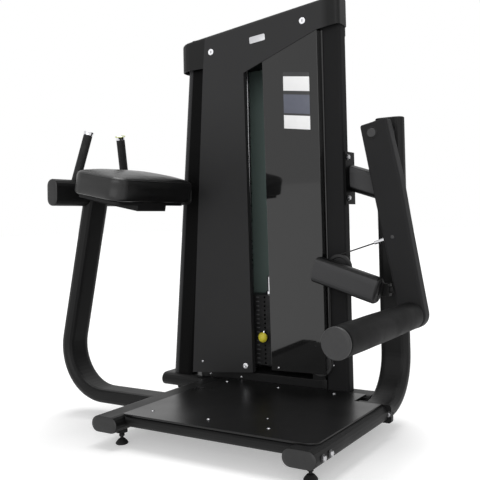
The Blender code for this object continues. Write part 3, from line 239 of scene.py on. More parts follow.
def smoked_panel():
    """Smoked acrylic: a near-black sheet with a clean gloss, a few dust specks in its roughness."""
    shade = Shader("smoked_acrylic", 0.04, specular=0.60)
    shade.colours(shade.noise(3.0, 2), (0.30, grey(0.0030)), (0.80, grey(0.0050)))
    shade.rough(shade.noise(420, 2), 0.025, 0.060)
    shade.bump(shade.noise(3.2, 2), 0.00020, 0.25)
    shade.bump(shade.along(PANEL_BOW, (0, 0, 0)), 1.0)
    return shade.material


def lit_face_shaded_edge_coat(name, dark, light, across, origin, half):
    """Grey tube face as a painted reflection, turning black towards its rounded edges as painted shade."""
    shade = Shader(name, 0.45, specular=0.20)
    shade.colours(shade.noise(2.6, 4), (0.30, grey(dark)), (0.72, grey(light)))
    # Painted shade: the colour turns black over the last few millimetres towards each rounded edge.
    from_middle = shade.size_of(shade.along(across, origin))
    start = half - EDGE_SHADE_WIDTH
    edge = shade.remap(from_middle, 0.0, 1.0, start, start + EDGE_SHADE_FADE)
    shade.toward(edge, grey(0.002))
    shade.rough(shade.noise(5.0, 5), 0.42, 0.52)
    shade.bump(shade.noise(950, 2), 0.00012, 0.35)
    shade.bump(shade.noise(160, 3), 0.00010, 0.20)
    return shade.material


def header_painted_light_coat():
    """Header and shield sheet: painted light makes it lighter towards the top, and painted shade darkens its
    left end and its right end.
    """
    shade = Shader("shield_painted_light_coat", 0.46, specular=0.20)
    shade.colours(shade.noise(2.6, 4), (0.30, grey(0.0165)), (0.72, grey(0.0205)))
    # Painted light: the sheet turns lighter from 0.95 m up to 1.20 m.
    shade.toward(shade.remap(shade.along(Z_AXIS, (0, 0, 0)), 0.0, 1.0, 0.95, 1.20), grey(0.0250))
    front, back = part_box("header_cover")[0].y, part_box("header_cover")[1].y
    depth = shade.along(Y_AXIS, (0, front, 0))
    near = shade.remap(depth, 1.0, 0.0, 0.010, 0.110)
    # Painted shade on the left end's front, past a leaning line.
    past_left = shade.along((1, 0, -HEADER_SHADE_LEAN), tower(*HEADER_SHADE_LEFT))
    left = shade.remap(past_left, 1.0, 0.0, -0.0005, 0.0005)
    shade.toward(shade.product(left, near), grey(0.0068))
    # Painted shade on the right end, short of its back face.
    past_right = shade.along(X_AXIS, tower(*HEADER_SHADE_RIGHT))
    right = shade.remap(past_right, 0.0, 1.0, 0.0, 0.030)
    ahead = shade.remap(depth, 1.0, 0.0, back - front - 0.020, back - front - 0.004)
    shade.toward(shade.product(right, ahead), grey(0.0058))
    shade.rough(shade.noise(5.0, 5), 0.44, 0.54)
    shade.bump(shade.noise(950, 2), 0.00012, 0.35)
    return shade.material


def upright_lit_and_shaded_coat():
    """Left upright: a painted highlight in grey along its outer edge, and painted shade in near black where
    the shield shades it.
    """
    shade = Shader("upright_lit_and_shaded_coat", 0.46, specular=0.06)
    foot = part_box("left_upright")[0]
    inward = shade.along((1, 0, -UPRIGHT_LEAN), foot)
    # Painted highlight grey at the outer edge, fading to painted shade in near black towards the shield.
    shade.colours(
        shade.remap(inward, 0.0, 1.0, 0.0, UPRIGHT_LIT_STRIP), (0.0, grey(0.100)), (0.40, grey(0.060)),
        (0.88, grey(0.035)), (1.0, grey(0.0012)),
    )
    shade.rough(shade.noise(5.0, 5), 0.42, 0.50)
    shade.bump(shade.noise(950, 2), 0.00012, 0.35)
    shade.bump(shade.noise(160, 3), 0.00010, 0.20)
    return shade.material


def rear_sheet():
    """Rear cover: dark coat outside, pale green-grey inside."""
    shade = Shader("rear_coat", 0.48, specular=0.30)
    shade.colours(shade.noise(2.6, 4), (0.30, grey(0.009)), (0.72, grey(0.013)))
    low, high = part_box("rear_cover")
    inside = shade.remap(shade.along(Y_AXIS, (0, high.y - COVER_SKIN, 0)), 1.0, 0.0, -0.0004, 0.0004)
    for side, direction in ((low.x + COVER_SKIN, X_AXIS), (high.x - COVER_SKIN, -X_AXIS)):
        wall = shade.remap(shade.along(direction, (side, 0, 0)), 0.0, 1.0, -0.0004, 0.0004)
        corner = shade.along(direction - Y_AXIS, (side, high.y, 0))
        bend = shade.remap(corner, 0.0, 1.0, COVER_BEND, COVER_BEND + 0.0004)
        inside = shade.product(shade.product(inside, wall), bend)
    shade.toward(inside, (0.150, 0.200, 0.185))
    shade.rough(shade.noise(5.0, 5), 0.42, 0.55)
    shade.bump(shade.noise(950, 2), 0.00012, 0.35)
    return shade.material


def leather(name, dark, light, specular, low_rough, high_rough):
    """Grained upholstery leather: pebble cells over soft creases."""
    shade = Shader(name, 0.45, specular=specular)
    shade.colours(shade.noise(26, 4), (0.30, grey(dark)), (0.75, grey(light)))
    shade.rough(shade.noise(14, 4), low_rough, high_rough)
    shade.bump(shade.cells(620), 0.00022, 0.55)
    shade.bump(shade.noise(70, 4), 0.0004, 0.12)
    return shade.material


def rubber(name, dark, light, rough_low=0.60, rough_high=0.80, specular=0.30):
    shade = Shader(name, rough_low, specular=specular)
    shade.colours(shade.noise(40, 4), (0.30, grey(dark)), (0.75, grey(light)))
    shade.rough(shade.noise(22, 4), rough_low, rough_high)
    shade.bump(shade.noise(700, 2), 0.00015, 0.4)
    return shade.material


def ribbed_rubber(name, dark, light):
    """Grip rubber with fine rings round the bar."""
    shade = Shader(name, 0.6, specular=0.3)
    shade.colours(shade.noise(60, 3), (0.30, grey(dark)), (0.75, grey(light)))
    shade.rough(shade.noise(22, 4), 0.55, 0.75)
    rings = shade.add("ShaderNodeTexWave")
    rings.bands_direction = "Z"
    rings.inputs["Scale"].default_value = 62
    rings.inputs["Distortion"].default_value = 0.0
    shade.link(shade.coords, rings.inputs["Vector"])
    shade.bump(rings.outputs["Fac"], 0.0006, 0.5)
    shade.bump(shade.noise(800, 2), 0.0001, 0.3)
    return shade.material


def metal(name, dark, light, low_rough, high_rough, brushed=None):
    """Bare or plated metal with fine wear; brushed gives the direction across the grain."""
    shade = Shader(name, low_rough, metallic=1.0)
    shade.colours(shade.noise(9, 4), (0.30, grey(dark)), (0.75, grey(light)))
    shade.rough(shade.noise(60, 4), low_rough, high_rough)
    shade.bump(shade.noise(400, 3, stretch=brushed), 0.00005, 0.3)
    return shade.material


def cast_iron():
    shade = Shader("painted_iron", 0.55, specular=0.25)
    shade.colours(shade.noise(18, 5), (0.30, grey(0.008)), (0.75, grey(0.018)))
    shade.rough(shade.noise(30, 4), 0.45, 0.68)
    shade.bump(shade.noise(260, 4), 0.0003, 0.6)
    return shade.material


def gloss_plastic(name, dark, light, low_rough=0.22, high_rough=0.34):
    shade = Shader(name, low_rough, specular=0.45)
    shade.colours(shade.noise(30, 3), (0.30, dark), (0.75, light))
    shade.rough(shade.noise(80, 3), low_rough, high_rough)
    shade.bump(shade.noise(500, 2), 0.00006, 0.3)
    return shade.material


PANEL_BOW = (0.060, 0.0, 0.042)
COVER_SKIN = 0.0008
COVER_BEND = 0.0090
# Width and fade of the painted shade along the rounded edges of the stop tube and the upper link.
EDGE_SHADE_WIDTH = 0.009
EDGE_SHADE_FADE = 0.003
# Where the header's painted shade begins at its left and right ends.
HEADER_SHADE_LEAN = 0.10
HEADER_SHADE_LEFT = (-0.2240, 0, 1.30)
HEADER_SHADE_RIGHT = (0.3130, 0, 0)
UPRIGHT_LEAN = 0.0868
# Width of the painted highlight along the left upright's outer edge.
UPRIGHT_LIT_STRIP = 0.034
STOP_ACROSS = Vector((0.2922, 0, 0.9563))
STOP_HALF = 0.0457
LINK_ACROSS = Vector((0.3048, 0, 0.9524))
LINK_HALF = 0.0415


def middle_of_stop():
    """Point on the stop tube's middle line, taken at its right end."""
    low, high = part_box("stop_bracket")
    return Vector(((low.x + high.x) / 2, 0, (low.z + high.z) / 2))


FRAME_COAT = powder_coat("frame_coat", 0.0038, 0.0058, 0.44, 0.54, 0.20)
TUBE_COAT = powder_coat("tube_coat", 0.0185, 0.0230, 0.54, 0.64, 0.08)
RIGHT_COAT = powder_coat("right_coat", 0.0135, 0.0170, 0.56, 0.66, 0.05)
SHIELD_PAINTED_LIGHT_COAT = header_painted_light_coat()
UPRIGHT_LIT_AND_SHADED_COAT = upright_lit_and_shaded_coat()
DARK_COAT = powder_coat("dark_coat", 0.0012, 0.0020, 0.42, 0.50, 0.06)
# Stop tube and upper link: a grey face as painted reflection, black edges as painted shade.
STOP_LIT_SHADED_COAT = lit_face_shaded_edge_coat(
    "stop_lit_shaded_coat", 0.0460, 0.0550, STOP_ACROSS, middle_of_stop(), STOP_HALF,
)
LINK_LIT_SHADED_COAT = lit_face_shaded_edge_coat("link_lit_shaded_coat", 0.0490, 0.0590, LINK_ACROSS, middle("upper_link"), LINK_HALF)
REAR_COAT = rear_sheet()
PLATE_COAT = powder_coat("plate_coat", 0.0034, 0.0048, 0.27, 0.35, 0.32, ripple=0.0)
PLUG = gloss_plastic("cap_plastic", grey(0.0060), grey(0.0090), 0.42, 0.52)
PANEL = smoked_panel()
PAD_LEATHER = leather("pad_leather", 0.0022, 0.0038, 0.46, 0.30, 0.38)
ROLLER_LEATHER = leather("roller_leather", 0.0036, 0.0056, 0.07, 0.52, 0.62)
DISC = gloss_plastic("disc_plastic", grey(0.021), grey(0.026), 0.45, 0.55)
RUBBER = rubber("black_rubber", 0.0050, 0.0090)
FOOT_RUBBER = rubber("foot_rubber", 0.0030, 0.0060)
GRIP = ribbed_rubber("grip_rubber", 0.0070, 0.0110)
CABLE = rubber("cable_sleeve", 0.0060, 0.0100, 0.35, 0.50)
IRON = cast_iron()
CHROME = metal("chrome", 0.62, 0.72, 0.06, 0.14)
ZINC = metal("zinc_steel", 0.42, 0.52, 0.22, 0.34, brushed=(1, 1, 12))
SILVER = metal("silver_plate", 0.55, 0.66, 0.30, 0.42, brushed=(1, 1, 10))
DARK_STEEL = metal("dark_steel", 0.06, 0.08, 0.35, 0.45)
CAP_GREY = gloss_plastic("cap_grey", grey(0.030), grey(0.037), 0.45, 0.55)
# Guide rods: chrome dimmed to a dark steel grey as painted shade, for the shade inside the stack's housing.
ROD_SHADED_CHROME = metal("rod_shaded_chrome", 0.16, 0.22, 0.25, 0.35)
RING = metal("polished_ring", 0.93, 0.98, 0.18, 0.28)
CORE = metal("ring_core", 0.46, 0.56, 0.30, 0.40)
NYLON = gloss_plastic("pulley_nylon", grey(0.010), grey(0.015), 0.35, 0.45)
YELLOW = gloss_plastic("knob_yellow", (0.58, 0.50, 0.03), (0.70, 0.61, 0.05))
LIME = gloss_plastic("rim_lime", (0.50, 0.58, 0.03), (0.62, 0.70, 0.06))
WHITE = gloss_plastic("white_ring", grey(0.78, (1, 1, 1)), grey(0.86, (1, 1, 1)), 0.30, 0.40)
PRINT_WHITE = gloss_plastic("print_white", grey(0.93, (1, 1, 1)), grey(0.97, (1, 1, 1)), 0.40, 0.50)
PRINT_BLUE = gloss_plastic("print_blue_grey", (0.105, 0.112, 0.145), (0.120, 0.128, 0.165), 0.40, 0.50)
PRINT_DARK = gloss_plastic("print_dark", grey(0.030), grey(0.038), 0.40, 0.50)
# Light grey for the painted highlights on the stack's plates.
STACK_HIGHLIGHT_GREY = gloss_plastic("stack_highlight_grey", grey(0.050), grey(0.070), 0.45, 0.55)

NODE_LOOKS = {
    FRAME_COAT: (
        "left_rail", "right_rail", "front_beam", "cross_tube",
        "top_crossbar", "stack_base", "low_pulley_bracket", "top_pulley_bracket",
        "stop_bracket", "pad_bracket", "elbow_beam", "left_link", "right_column", "left_column",
        "pivot_hub",
    ),
    TUBE_COAT: ("swing_arm",),
    RIGHT_COAT: ("right_upright",),
    UPRIGHT_LIT_AND_SHADED_COAT: ("left_upright",),
    DARK_COAT: ("link_plate",),
    SHIELD_PAINTED_LIGHT_COAT: ("header_cover",),
    STOP_LIT_SHADED_COAT: ("stop_tube",),
    LINK_LIT_SHADED_COAT: ("upper_link",),
    REAR_COAT: ("rear_cover",),
    PLATE_COAT: ("platform_plate",),
    PANEL: ("right_panel",),
    DISC: ("roller_disc",),
    RUBBER: ("buffer_left", "buffer_right", "stop_bumper"),
    FOOT_RUBBER: ("foot_front_left", "foot_front_right", "foot_rear_left", "foot_rear_right"),
    GRIP: ("handle_near", "handle_far"),
    CABLE: ("cable_run", "cable_to_arm", "cable_to_stack"),
    ROD_SHADED_CHROME: ("guide_rod_left", "guide_rod_right"),
    CHROME: ("selector_stem", "cable_fork"),
    ZINC: ("side_pulley_axle", "roller_axle"),
    CAP_GREY: ("pivot_shaft",),
    NYLON: ("side_pulley", "low_pulley", "top_pulley", "stack_pulley"),
    YELLOW: ("selector_pin",),
    IRON: tuple("weight_pair_%d" % i for i in range(1, 9)),
}


def paint_nodes():
    for look, names in NODE_LOOKS.items():
        for name in names:
            slots = NODES[name].data.materials
            slots.clear()
            slots.append(look)


paint_nodes()


# Making pieces

def piece(name, bm, look, body, smooth=35):
    """A finished mesh that rides on a CAD body."""
    bmesh.ops.recalc_face_normals(bm, faces=bm.faces)
    mesh = bpy.data.meshes.new(name)
    bm.to_mesh(mesh)
    bm.free()
    mesh.materials.append(look)
    mesh.shade_smooth()
    mesh.set_sharp_from_angle(angle=math.radians(smooth))
    made = bpy.data.objects.new(name, mesh)
    bpy.context.scene.collection.objects.link(made)
    if body:
        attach(made, body)
    return made


def facing(place, axis, roll=0.0):
    """Matrix that puts +Z along an axis at a place."""
    turn = Z_AXIS.rotation_difference(Vector(axis)).to_matrix().to_4x4()
    return Matrix.Translation(place) @ turn @ Matrix.Rotation(roll, 4, "Z")


def turned(name, profile, place, axis, look, body, steps=32):
    """Spin (radius, height) points about an axis; ends at radius 0 close by themselves."""
    bm = bmesh.new()
    verts = [bm.verts.new((r, 0, h)) for r, h in profile]
    edges = [bm.edges.new(pair) for pair in zip(verts, verts[1:])]
    if profile[0][0] > 0:
        edges.append(bm.edges.new((verts[-1], verts[0])))
    bmesh.ops.spin(
        bm, geom=verts + edges, cent=(0, 0, 0), axis=(0, 0, 1), angle=math.tau, steps=steps, use_merge=True,
    )
    bmesh.ops.remove_doubles(bm, verts=bm.verts, dist=0.00001)
    bmesh.ops.transform(bm, matrix=facing(place, axis), verts=bm.verts)
    return piece(name, bm, look, body)


def prism(name, outline, depth, place, look, body, bevel=0.0004):
    """A flat plate from an outline of (u, v) points, standing out along +Z of its place matrix."""
    bm = bmesh.new()
    face = bm.faces.new([bm.verts.new((u, v, 0)) for u, v in outline])
    grown = bmesh.ops.extrude_face_region(bm, geom=[face])["geom"]
    verts = [g for g in grown if isinstance(g, bmesh.types.BMVert)]
    bmesh.ops.translate(bm, vec=(0, 0, depth), verts=verts)
    if bevel:
        top = [e for e in bm.edges if all(v in verts for v in e.verts)]
        bmesh.ops.bevel(bm, geom=top, offset=bevel, segments=2, affect="EDGES", profile=0.5)
    bmesh.ops.transform(bm, matrix=place, verts=bm.verts)
    return piece(name, bm, look, body)


def rounded_rectangle(wide, high, radius, steps=5):
    points = []
    for turn, (sx, sy) in enumerate(((1, 1), (-1, 1), (-1, -1), (1, -1))):
        for i in range(steps + 1):
            angle = math.radians(90 * turn + 90 * i / steps)
            points.append((
                sx * (wide / 2 - radius) + radius * math.cos(angle),
                sy * (high / 2 - radius) + radius * math.sin(angle),
            ))
    return points


def front_plane(x, y, z, roll=0.0):
    """Place matrix of a plate on a face that looks along -Y, with u to the right and v up."""
    turn = Matrix(((1, 0, 0), (0, 0, -1), (0, 1, 0))).to_4x4()
    return Matrix.Translation(tower(x, y, z)) @ Matrix.Rotation(-roll, 4, "Y") @ turn


def button_screw(name, place, axis, radius, body, look=None):
    """Low domed head with a hexagon socket."""
    high = radius * 0.55
    socket = radius * 0.45
    profile = [
        (0, high * 0.35), (socket * 0.98, high * 0.35), (socket, high * 0.93), (radius * 0.70, high * 0.80),
        (radius * 0.92, high * 0.45), (radius, high * 0.12), (radius, -0.0004), (0, -0.0004),
    ]
    return turned(name, profile, place, axis, look or ZINC, body, 24)


def hex_bolt(name, place, axis, radius, body):
    """Washer and chamfered hexagon head."""
    washer = [
        (0, 0), (radius * 1.45, 0), (radius * 1.5, 0.0004), (radius * 1.5, 0.0014), (radius * 1.42, 0.0018),
        (0, 0.0018),
    ]
    turned(name + "_washer", washer, place, axis, DARK_STEEL, body, 28)
    high = radius * 0.9
    bm = bmesh.new()
    bmesh.ops.create_cone(
        bm, cap_ends=True, segments=6, radius1=radius * 1.08, radius2=radius * 1.08, depth=high,
        matrix=facing(Vector(place) + Vector(axis).normalized() * (0.0018 + high / 2), axis),
    )
    bmesh.ops.bevel(bm, geom=list(bm.edges), offset=radius * 0.12, segments=2, affect="EDGES", profile=0.6)
    return piece(name + "_head", bm, ZINC, body)


def oval_points(wide, thin, steps=12):
    radius = thin / 2
    reach = wide / 2 - radius
    points = []
    for side, start in ((1, -90), (-1, 90)):
        for i in range(steps + 1):
            angle = math.radians(start + 180 * i / steps)
            points.append((side * reach + radius * math.cos(angle), radius * math.sin(angle)))
    return points


def tube_cap(name, place, normal, across, wide, thin, body="base", outline=oval_points):
    """Moulded plug in the end of a flat-oval tube: a thin rim and a raised, rounded middle."""
    normal = Vector(normal).normalized()
    across = Vector(across).normalized()
    through = normal.cross(across)
    turn = Matrix((across, through, normal)).transposed().to_4x4()
    bm = bmesh.new()
    rings = []
    for inset, height in ((0.0006, 0.0), (0.0006, 0.0012), (0.0030, 0.0030), (0.0120, 0.0036)):
        rings.append([
            bm.verts.new((u, v, height)) for u, v in outline(wide - 2 * inset, thin - 2 * inset)
        ])
    for lower, upper in zip(rings, rings[1:]):
        for i in range(len(lower)):
            j = (i + 1) % len(lower)
            bm.faces.new((lower[i], lower[j], upper[j], upper[i]))
    bm.faces.new(rings[-1])
    bm.faces.new(list(reversed(rings[0])))
    bmesh.ops.transform(bm, matrix=Matrix.Translation(place) @ turn, verts=bm.verts)
    return piece(name, bm, PLUG, body)


# Padded pieces

PAD_TILT = math.radians(11.2)
PAD_SWELL = 0.004
PAD_CROWN = 0.012
PAD_REACH = 0.022


def inflate(soft, voxel, pressure, bending, cap, rounds, frames=20):
    """Swell a closed mesh with cloth pressure, and cap how far its points may move."""
    scene = bpy.context.scene
    remesh = soft.modifiers.new("remesh", "REMESH")
    remesh.mode = "VOXEL"
    remesh.voxel_size = voxel
    bpy.context.view_layer.objects.active = soft
    with bpy.context.temp_override(object=soft, active_object=soft, selected_objects=[soft]):
        bpy.ops.object.modifier_apply(modifier="remesh")
    rest = [v.co.copy() for v in soft.data.vertices]
    cloth = soft.modifiers.new("cloth", "CLOTH")
    cloth.settings.use_pressure = True
    cloth.settings.uniform_pressure_force = pressure
    cloth.settings.tension_stiffness = 30
    cloth.settings.compression_stiffness = 30
    cloth.settings.bending_stiffness = bending
    cloth.settings.effector_weights.gravity = 0
    cloth.point_cache.frame_start = 1
    cloth.point_cache.frame_end = frames
    for number in range(1, frames + 1):
        scene.frame_set(number)
    with bpy.context.temp_override(object=soft, active_object=soft, selected_objects=[soft]):
        bpy.ops.object.modifier_apply(modifier="cloth")
    for vert, start in zip(soft.data.vertices, rest):
        move = vert.co - start
        if move.length > cap:
            vert.co = start + move * (cap / move.length)
    scene.frame_set(1)
    smooth = soft.modifiers.new("smooth", "SMOOTH")
    smooth.factor = 0.5
    smooth.iterations = rounds
    finer = soft.modifiers.new("finer", "SUBSURF")
    finer.levels = 1
    finer.render_levels = 1
    with bpy.context.temp_override(object=soft, active_object=soft, selected_objects=[soft]):
        bpy.ops.object.modifier_apply(modifier="smooth")
        bpy.ops.object.modifier_apply(modifier="finer")
    soft.data.shade_smooth()
    return soft


def copy_of(node, name, look, shrink):
    """A free copy of a CAD node's mesh, a little smaller about its middle."""
    mesh = NODES[node].data.copy()
    mesh.name = name
    soft = bpy.data.objects.new(name, mesh)
    bpy.context.scene.collection.objects.link(soft)
    centre = middle(node)
    low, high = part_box(node)
    size = high - low
    scale = Matrix.Diagonal([1 - 2 * shrink / side for side in size]).to_4x4()
    mesh.transform(Matrix.Translation(centre) @ scale @ Matrix.Translation(-centre))
    mesh.materials.clear()
    mesh.materials.append(look)
    bm = bmesh.new()
    bm.from_mesh(mesh)
    bmesh.ops.remove_doubles(bm, verts=bm.verts, dist=0.00005)
    bm.to_mesh(mesh)
    bm.free()
    return soft


def crown(pad):
    """Fuller middle of the cushion's top, and a little more length at its far end."""
    low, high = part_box("elbow_pad")
    centre = middle("elbow_pad")
    half = (high - low) / 2
    up = Vector((math.sin(PAD_TILT), 0, math.cos(PAD_TILT)))
    for vert in pad.data.vertices:
        u = (vert.co.x - centre.x) / half.x
        v = (vert.co.y - centre.y) / half.y
        height = (vert.co - centre).dot(up)
        fill = max(0.0, 1 - u * u) * max(0.0, 1 - v * v)
        rise = min(1.0, max(0.0, height / 0.030))
        vert.co += up * (PAD_CROWN * rise * math.sqrt(fill))
        vert.co.y += PAD_REACH * max(0.0, v)


def elbow_pad():
    """Upholstered cushion over the CAD pad."""
    pad = copy_of("elbow_pad", "elbow_cushion", PAD_LEATHER, 0.002)
    inflate(pad, voxel=0.004, pressure=1.5, bending=30, cap=PAD_SWELL, rounds=3)
    crown(pad)
    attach(pad, "base")
    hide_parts("elbow_pad")
    return pad


PAD_TOP = (-0.3245, -0.326, 0.901)
PAD_LONG = 0.238
PAD_WIDE = 0.414
PAD_THICK = 0.089
PAD_CORNER = 0.050
WELT_HIGH = 0.0785
WELT_RADIUS = 0.0017


def closed_tube(name, centres, radius, look, body, around=8):
    """Round tube along a closed row of points."""
    bm = bmesh.new()
    rings = []
    count = len(centres)
    for i, centre in enumerate(centres):
        along = (centres[(i + 1) % count] - centres[i - 1]).normalized()
        side = along.cross(Z_AXIS).normalized()
        other = along.cross(side)
        rings.append([
            bm.verts.new(centre + side * radius * math.cos(math.tau * k / around)
                         + other * radius * math.sin(math.tau * k / around))
            for k in range(around)
        ])
    for a, b in zip(rings, rings[1:] + rings[:1]):
        for k in range(around):
            j = (k + 1) % around
            bm.faces.new((a[k], a[j], b[j], b[k]))
    return piece(name, bm, look, body, 60)


def pad_welt(pad):
    """Sewn edge where the cushion's top meets its sides, laid on the finished skin."""
    down = Vector((math.cos(PAD_TILT), 0, -math.sin(PAD_TILT)))
    out = Vector((math.sin(PAD_TILT), 0, math.cos(PAD_TILT)))
    centre = tower(*PAD_TOP) - out * PAD_THICK
    skin = BVHTree.FromPolygons(
        [v.co for v in pad.data.vertices], [list(p.vertices) for p in pad.data.polygons],
    )
    outline = [Vector(point) for point in rounded_rectangle(PAD_LONG, PAD_WIDE, PAD_CORNER, 8)]
    centres = []
    for a, b in zip(outline, outline[1:] + outline[:1]):
        steps = max(1, round((b - a).length / 0.012))
        for i in range(steps):
            u, v = a.lerp(b, i / steps)
            far = PAD_REACH * max(0.0, v / (PAD_WIDE / 2))
            outside = centre + (down * u + Y_AXIS * v) * 1.05 + Y_AXIS * far + out * (WELT_HIGH + 0.010)
            centres.append(skin.find_nearest(outside)[0])
    count = len(centres)
    for _ in range(3):
        centres = [(centres[i - 1] + centres[i] * 2 + centres[(i + 1) % count]) / 4 for i in range(count)]
    closed_tube("cushion_welt", centres, WELT_RADIUS, PAD_LEATHER, "base")


ROLLER_RADIUS = 0.046
ROLLER_BULGE = 0.0012


def roller_cover():
    """Foam roller: fine skin with rolled ends, a slight crown and shallow dimples of soft foam."""
    low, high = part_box("roller_foam")
    centre = middle("roller_foam")
    long = high.y - low.y
    bore = 0.0128
    corner = 0.012
    rings = [(bore, 0.0005)]
    for i in range(9):
        angle = math.radians(-90 + 90 * i / 8)
        rings.append((ROLLER_RADIUS - corner - ROLLER_BULGE + corner * math.cos(angle),
                      corner + corner * math.sin(angle)))
    count = 60
    for i in range(1, count):
        along = corner + (long - 2 * corner) * i / count
        bulge = ROLLER_BULGE * math.sin(math.pi * i / count)
        rings.append((ROLLER_RADIUS - ROLLER_BULGE + bulge, along))
    for i in range(9):
        angle = math.radians(90 * i / 8)
        rings.append((ROLLER_RADIUS - corner - ROLLER_BULGE + corner * math.cos(angle),
                      long - corner + corner * math.sin(angle)))
    rings.append((bore, long - 0.0005))
    around = 64
    bm = bmesh.new()
    grid = []
    for radius, along in rings:
        ring = []
        for k in range(around):
            angle = math.tau * k / around
            wave = noise.noise(Vector((math.cos(angle) * 1.3, math.sin(angle) * 1.3, along * 9))) * 0.0006
            r = radius + (wave if radius > ROLLER_RADIUS - 0.006 else 0)
            ring.append(bm.verts.new((
                centre.x + r * math.cos(angle), low.y + along, centre.z + r * math.sin(angle),
            )))
        grid.append(ring)
    for a, b in zip(grid, grid[1:] + grid[:1]):
        for k in range(around):
            j = (k + 1) % around
            bm.faces.new((a[k], a[j], b[j], b[k]))
    cover = piece("roller_cover", bm, ROLLER_LEATHER, "roller", 60)
    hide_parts("roller_foam")


pad_welt(elbow_pad())
roller_cover()


# Cable stretches to the arm and the stack

CABLE_RADIUS = 0.0025


def cable_stretch(name, node, start, end):
    """Fine tube between two points."""
    start = Vector(start)
    end = Vector(end)
    along = (end - start).normalized()
    side = along.orthogonal().normalized()
    other = along.cross(side)
    steps = 60
    around = 12
    bm = bmesh.new()
    rings = []
    for i in range(steps + 1):
        centre = start.lerp(end, i / steps)
        rings.append([
            bm.verts.new(centre + side * CABLE_RADIUS * math.cos(math.tau * k / around)
                         + other * CABLE_RADIUS * math.sin(math.tau * k / around))
            for k in range(around)
        ])
    for a, b in zip(rings, rings[1:]):
        for k in range(around):
            j = (k + 1) % around
            bm.faces.new((a[k], a[j], b[j], b[k]))
    bm.faces.new(rings[0])
    bm.faces.new(list(reversed(rings[-1])))
    made = piece(name, bm, CABLE, None)
    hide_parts(node)
    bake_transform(made)
    return made


def cables():
    low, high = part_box("cable_to_arm")
    mid_y = (low.y + high.y) / 2
    cable_stretch(
        "arm_cable", "cable_to_arm", (low.x + CABLE_RADIUS, mid_y, low.z + CABLE_RADIUS),
        (high.x, mid_y, high.z - CABLE_RADIUS),
    )
    low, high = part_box("cable_to_stack")
    centre = middle("cable_to_stack")
    cable_stretch(
        "stack_cable", "cable_to_stack", (centre.x, centre.y, high.z), (centre.x, centre.y, low.z),
    )


cables()


# Tube caps

TUBE_WIDE = 0.108
TUBE_THIN = 0.051
BEAM_WIDE = 0.098


def tube_caps():
    rail_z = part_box("left_rail")[0].z + TUBE_THIN / 2
    for rail in ("left_rail", "right_rail"):
        place = (middle(rail).x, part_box(rail)[0].y, rail_z)
        tube_cap(rail + "_cap", place, -Y_AXIS, X_AXIS, TUBE_WIDE, TUBE_THIN)
    low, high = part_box("elbow_beam")
    centre = middle("elbow_beam")
    tube_cap("beam_near_cap", (centre.x, low.y, centre.z), -Y_AXIS, Z_AXIS, BEAM_WIDE, TUBE_THIN)
    tube_cap("beam_far_cap", (centre.x, high.y, centre.z), Y_AXIS, Z_AXIS, BEAM_WIDE, TUBE_THIN)
    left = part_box("cross_tube")[0].x
    centre = middle("cross_tube")
    tube_cap("cross_left_cap", (left, centre.y, centre.z), -X_AXIS, Y_AXIS, TUBE_WIDE, TUBE_THIN)
    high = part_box("right_column")[1]
    top = (middle("right_column").x, high.y - TUBE_THIN / 2, high.z)
    tube_cap("column_top_cap", top, Z_AXIS, X_AXIS, TUBE_WIDE, TUBE_THIN)


tube_caps()


# Header, shield and panel: ringed bolts, bare label plate, screws

def ringed_bolt(name, x, z, radius):
    """Chrome button head in a white ring."""
    ring = [
        (radius * 0.42, 0), (radius, 0), (radius, 0.0010), (radius * 0.94, 0.0019), (radius * 0.50, 0.0021),
        (radius * 0.42, 0.0014),
    ]
    turned(name + "_ring", ring, tower(x, FRONT_Y, z), -Y_AXIS, RING, "base", 40)
    core = [(0, 0), (radius * 0.415, 0), (radius * 0.415, 0.0012), (radius * 0.25, 0.0019), (0, 0.0016)]
    turned(name + "_core", core, tower(x, FRONT_Y, z), -Y_AXIS, CORE, "base", 28)


def header_details():
    ringed_bolt("header_bolt_left", -0.1802, 1.3958, 0.0125)
    ringed_bolt("header_bolt_right", 0.2376, 1.4518, 0.0125)
    prism(
        "header_label", rounded_rectangle(0.0700, 0.0255, 0.0045), 0.0012,
        front_plane(0.0396, FRONT_Y, 1.4155, math.atan(0.083)), SILVER, "base",
    )
    ringed_bolt("shield_bolt_right", -0.0452, 0.1642, 0.0112)
    button_screw("shield_screw_left", tower(-0.2512, FRONT_Y, 0.1655), -Y_AXIS, 0.0048, "base")
    button_screw("panel_screw", tower(0.1026, FRONT_Y, 0.1700), -Y_AXIS, 0.0046, "base")
    button_screw("upright_screw", tower(0.3225, -0.0200, 0.1930), -Y_AXIS, 0.0042, "base")
    for number, x in enumerate((-0.2280, -0.0805)):
        button_screw("base_screw_%d" % number, tower(x, -0.0190, 0.1150), -Y_AXIS, 0.0045, "base")


# Placard on the panel: plain blocks, with no lettering or figures

PLACARD_LEFT_X = 0.1510
PLACARD_RIGHT_X = 0.2625
PLACARD_SLOPE = -0.130


def placard_strip(name, low, high, inset, look, lift):
    """Block between two heights of the placard's left edge."""
    left = PLACARD_LEFT_X + inset
    right = PLACARD_RIGHT_X - inset
    drop = PLACARD_SLOPE * (right - left)
    outline = [(left, low), (right, low + drop), (right, high + drop), (left, high)]
    prism(name, outline, lift, front_plane(0, FRONT_Y, 0), look, "base", 0.0001)


def placard():
    placard_strip("placard_sheet", 1.0610, 1.2727, 0.0, PRINT_DARK, 0.0008)
    placard_strip("placard_white_upper", 1.2030, 1.2566, 0.0006, PRINT_WHITE, 0.0011)
    placard_strip("placard_blue", 1.1190, 1.1892, 0.0006, PRINT_BLUE, 0.0011)
    placard_strip("placard_white_lower", 1.0618, 1.1116, 0.0006, PRINT_WHITE, 0.0011)


header_details()
placard()


# Platform screws and the side bolts of the rails

